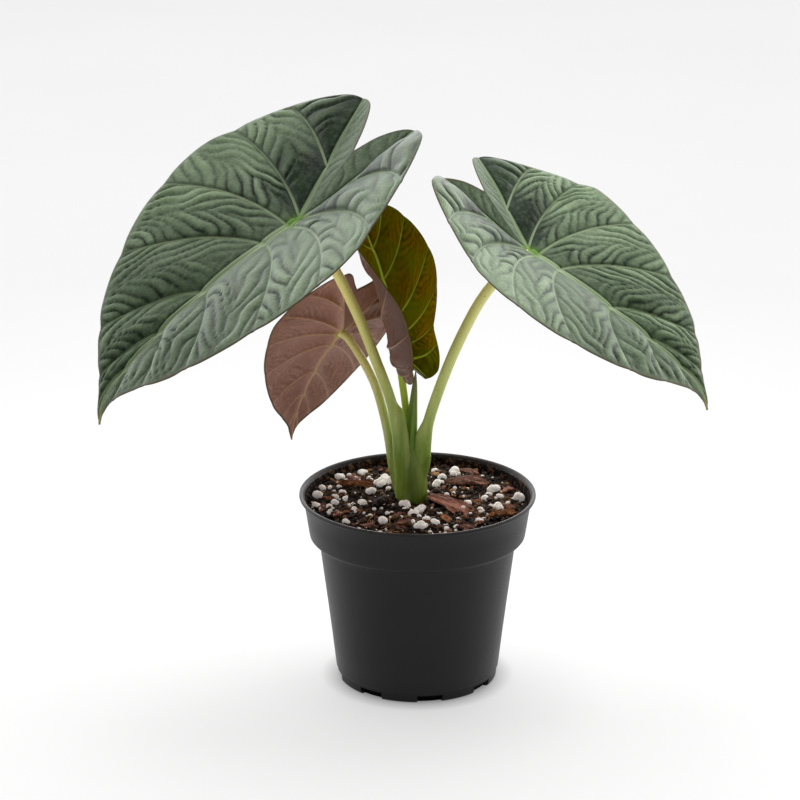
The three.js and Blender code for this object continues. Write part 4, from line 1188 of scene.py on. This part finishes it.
random.seed(5)
grain_paint = perlite_material()
ball = round_mesh(4)
for k, (x, y, size, stretch) in enumerate(GRAINS):
    grain = lump(ball, x, y, 0.25 * size, size * 1.12, (stretch, 1, 0.85), seed=20 + k, rough=1.15)
    dress(gather(f"perlite_grain_{k + 1}", [grain], grain_paint), "perlite", [f"perlite_{k + 1}"])

ball = round_mesh(3)
parts = []
for k, (x, y, size) in enumerate(LOOSE_GRAINS):
    stretch = (1 + 0.3 * random.random(), 1, 0.9)
    parts.append(lump(ball, x, y, 0.28 * size, size * 1.25, stretch, seed=60 + k, rough=0.9))
ball = round_mesh(2)
for k, x, y in scattered(TINY_GRAINS, reach=54, clear=11):
    size = 0.7 + 2.3 * random.random() ** 2
    parts.append(lump(ball, x, y, 0.4 * size, size, (1, 1, 0.9), seed=120 + k, rough=0.8))
dress(gather("perlite_bits", parts, grain_paint), "perlite", [])


def bark_part(chip, seed, thick, shade, rows=44, columns=20):
    """Flat chip torn along its fibres: ragged outline, steps between its layers, and fibres that stand up."""
    x, y, length, width, turn, tilt = chip
    c, s = math.cos(math.radians(turn)), math.sin(math.radians(turn))
    t = np.repeat(np.linspace(-1, 1, rows), columns)
    v = np.tile(np.linspace(-1, 1, columns), rows)

    def rough(along, across, level):
        return noise_at(np.stack([t * along, v * across, 0 * t + level], 1), 1.0, seed)

    edge = 0.86 + 0.3 * rough(1.6, 0.6, 0.2) + 0.16 * rough(7, 0.9, 0.7)
    half = width / 2 * np.clip(edge, 0.45, 1.1) * (1 - 0.42 * np.abs(t) ** 5)
    slant = 0.5 * math.sin(seed * 1.7)
    along = t * length / 2 + np.abs(t) ** 4 * width * (0.5 * slant * v + 0.28 * rough(0.4, 4.5, 1.1))
    across = v * half
    layer = rough(1.1, 1.9, 2.3)
    steps = 0.34 * smooth((layer + 0.16) / 0.05) + 0.4 * smooth((layer - 0.12) / 0.05)
    fibre = 0.34 * rough(1.6, 9, 3.1) + 0.2 * rough(4, 22, 4.7)
    border = np.minimum(1, (1 - np.abs(v)) / 0.12) * np.minimum(1, (1 - np.abs(t)) / 0.05)
    top = thick * (0.35 + steps + fibre * (0.4 + 0.6 * border) - 0.25 * (1 - border))
    bottom = -thick * (0.45 + 0.2 * rough(2, 5, 6.0)) * (0.55 + 0.45 * border)
    bend = 0.05 * length * (1 - t * t) + 0.08 * width * t * v - along * math.sin(math.radians(tilt))
    ground = float(soil_height(x, y)) + 0.55 * thick + 0.3
    flat = np.stack([x + along * c - across * s, y + along * s + across * c, ground + bend], 1)
    points = np.vstack([flat + np.outer(level, (0, 0, 1)) for level in (top, bottom)])
    count = rows * columns
    sheet = grid_faces(rows, columns)
    faces = [face[::-1] for face in sheet] + [tuple(count + n for n in face) for face in sheet]
    ring = [i * columns for i in range(rows)] + [(rows - 1) * columns + j for j in range(1, columns)]
    ring += [i * columns + columns - 1 for i in range(rows - 2, -1, -1)] + list(range(columns - 2, 0, -1))
    faces += [(b, a, count + a, count + b) for a, b in zip(ring, ring[1:] + ring[:1])]
    raw = np.clip(0.5 + 1.3 * (0.5 - steps) + 1.2 * fibre + 0.5 * (1 - border), 0, 1)
    paint = np.outer(0.42 + 0.75 * raw, rgb(*shade)) * np.array([1, 1 - 0.06 * raw.mean(), 1, 1])
    local = np.stack([along / 40, across / 40, top / 40, np.ones(count)], 1)
    # The underside is painted 0.6 as bright as the top: painted shade, which also darkens the lower part of
    # each side
    return points, faces, np.vstack([paint, paint * 0.6]), np.vstack([local, local])


def dress_bark(name, parts, nodes):
    piece = gather(name, parts, bark_paint, ("shade", "fibre"))
    piece.data.set_sharp_from_angle(angle=math.radians(42))
    dress(piece, "bark", nodes)


bark_paint = bark_material()
for k, chip in enumerate(BARK):
    dress_bark(f"bark_chip_{k + 1}", [bark_part(chip, 7.3 * (k + 1), 1.5, BARK_SHADES[k])], [f"bark_{k + 1}"])
parts = []
for k, chip in enumerate(LOOSE_BARK):
    parts.append(bark_part(chip, 3.1 * (k + 2), 0.9, random.choice(BARK_SHADES), 22, 10))
for k, x, y in scattered(TINY_CHIPS, reach=51, clear=13):
    long = random.uniform(2.2, 5.5)
    chip = (x, y, long, long * random.uniform(0.35, 0.7), random.uniform(0, 180), random.uniform(-14, 14))
    parts.append(bark_part(chip, 5.3 * (k + 2), 0.6, random.choice(BARK_SHADES), 12, 7))
dress_bark("bark_bits", parts, [])

points, faces = round_mesh(1)
parts = []
for k, x, y in scattered(CRUMBS, reach=54, clear=9.4):
    size = 0.8 + 2.6 * random.random() ** 2.2
    jitter = np.array([[random.uniform(0.65, 1.25)] for _ in points])
    shape = points * jitter * np.array([1 + random.random(), 1, 0.5 + 0.4 * random.random()]) * size / 2
    spin = Matrix.Rotation(random.uniform(0, 6.28), 3, "Z")
    spin = spin @ Matrix.Rotation(random.uniform(-0.6, 0.6), 3, "X")
    shape = shape @ np.array(spin).T + np.array([x, y, float(soil_height(x, y)) + 0.2 * size + 0.2])
    parts.append((shape, faces, rgb(*random.choices(CRUMB_SHADES, CRUMB_SHARES)[0])))
dress(gather("soil_crumbs", parts, crumb_material(), ["shade"], smooth_faces=False), "soil", [])


def fibre_part(x, y):
    """Thin bent fibre lying on the mix."""
    heading = random.uniform(0, 2 * math.pi)
    long = random.uniform(4, 11)
    bend = random.uniform(-0.35, 0.35)
    line = []
    for t in (-0.5, -0.25, 0, 0.25, 0.5):
        bow = 0.25 - t * t
        px = x + long * t * math.cos(heading) - bend * long * bow * math.sin(heading)
        py = y + long * t * math.sin(heading) + bend * long * bow * math.cos(heading)
        shrink = min(1, FIBRE_LIMIT / max(1, math.hypot(px, py)))
        px, py = px * shrink, py * shrink
        z = float(soil_height(px, py)) + 0.8 + 0.8 * bow * 4 * random.random()
        line.append((px, py, z, 0.2 + 0.12 * random.random()))
    points, faces, _ = tube(line, sides=6, cuts=3)
    return points, faces, rgb(*random.choice(CRUMB_SHADES[2:4] + CRUMB_SHADES[5:]))


parts = []
for k, x, y in scattered(FIBRES, reach=52):
    if k >= LOOSE_FIBRES:
        middle_x, middle_y = FIBRE_NESTS[k % len(FIBRE_NESTS)]
        x, y = random.gauss(middle_x, 6), random.gauss(middle_y, 4)
    if math.hypot(x - STEM[0][0], y - STEM[0][1]) >= 12 and math.hypot(x, y) <= 51:
        parts.append(fibre_part(x, y))
dress(gather("soil_fibres", parts, crumb_material(), ["shade"]), "soil", [])


# Floor, light and camera
def floor_material():
    """Paper floor; a soft glow stands for the light that its surroundings throw on it."""
    paint = Paint("floor_look", 0.1)
    paint.shader["Roughness"].default_value = 0.7
    colour = paint.mix(paint.span(paint.noise(3, 2), 0.3, 0.7), (0.46, 0.46, 0.46, 1), (0.48, 0.48, 0.48, 1))
    paint.put(paint.shader["Base Color"], colour)
    away = paint.node("VectorMath", {0: paint.place}, "Value", operation="LENGTH")
    glow = paint.span(away, 0.0, FLOOR_GLOW_REACH, FLOOR_GLOW_NEAR, FLOOR_GLOW)
    lit = paint.span(away, SHADE_FROM, SHADE_TO, 0.3, 1.0)
    paint.shader["Emission Color"].default_value = (1, 1, 1, 1)
    paint.put(paint.shader["Emission Strength"], paint.math("MULTIPLY", glow, lit))
    return paint.material


def studio_world():
    world = bpy.data.worlds.new("studio")
    world.use_nodes = True
    nodes = Nodes(world.node_tree)
    toward = nodes.node("TexCoord", {}, "Generated")
    y, z = (nodes.node("SeparateXYZ", {0: toward}, key) for key in "YZ")
    soft = dict(interpolation_type="SMOOTHSTEP")
    front_to_side = nodes.span(y, -0.8, 0.1, FRONT, SIDES, **soft)
    round_about = nodes.span(y, 0.0, 0.8, front_to_side, BACKDROP, **soft)
    background = world.node_tree.nodes["Background"].inputs
    background["Color"].default_value = (1.0, 1.0, 1.0, 1)
    nodes.put(background["Strength"], nodes.span(z, 0.35, 0.75, round_about, CEILING, **soft))
    return world


corners = [(x * FLOOR_HALF, y * FLOOR_HALF, -FLOOR_DROP) for x, y in ((-1, -1), (1, -1), (1, 1), (-1, 1))]
floor = build_mesh("floor", corners, [(0, 1, 2, 3)], [floor_material()])
scene.world = studio_world()

lamp_data = bpy.data.lights.new("key", "AREA")
lamp_data.shape = "SQUARE"
lamp_data.size = LAMP_SIZE
lamp_data.energy = LAMP_POWER
lamp = add_object("key", lamp_data)
lamp.location = LAMP_AT
lamp.rotation_euler = (Vector(LAMP_TARGET) - Vector(LAMP_AT)).to_track_quat("-Z", "Y").to_euler()

camera_data = bpy.data.cameras.new("camera")
camera_data.sensor_width = SENSOR_WIDTH
camera_data.lens = CAMERA_FOCAL / IMAGE_SIZE * SENSOR_WIDTH
camera_data.clip_end = 50
camera = add_object("camera", camera_data)
pitch = math.radians(CAMERA_PITCH)
camera.location = (CAMERA_SIDE * MM, -CAMERA_DISTANCE * math.cos(pitch) * MM,
                   (AIM_HEIGHT + CAMERA_DISTANCE * math.sin(pitch)) * MM)
camera.rotation_euler = (math.pi / 2 - pitch, 0, 0)
scene.camera = camera
scene.view_settings.view_transform = "Standard"
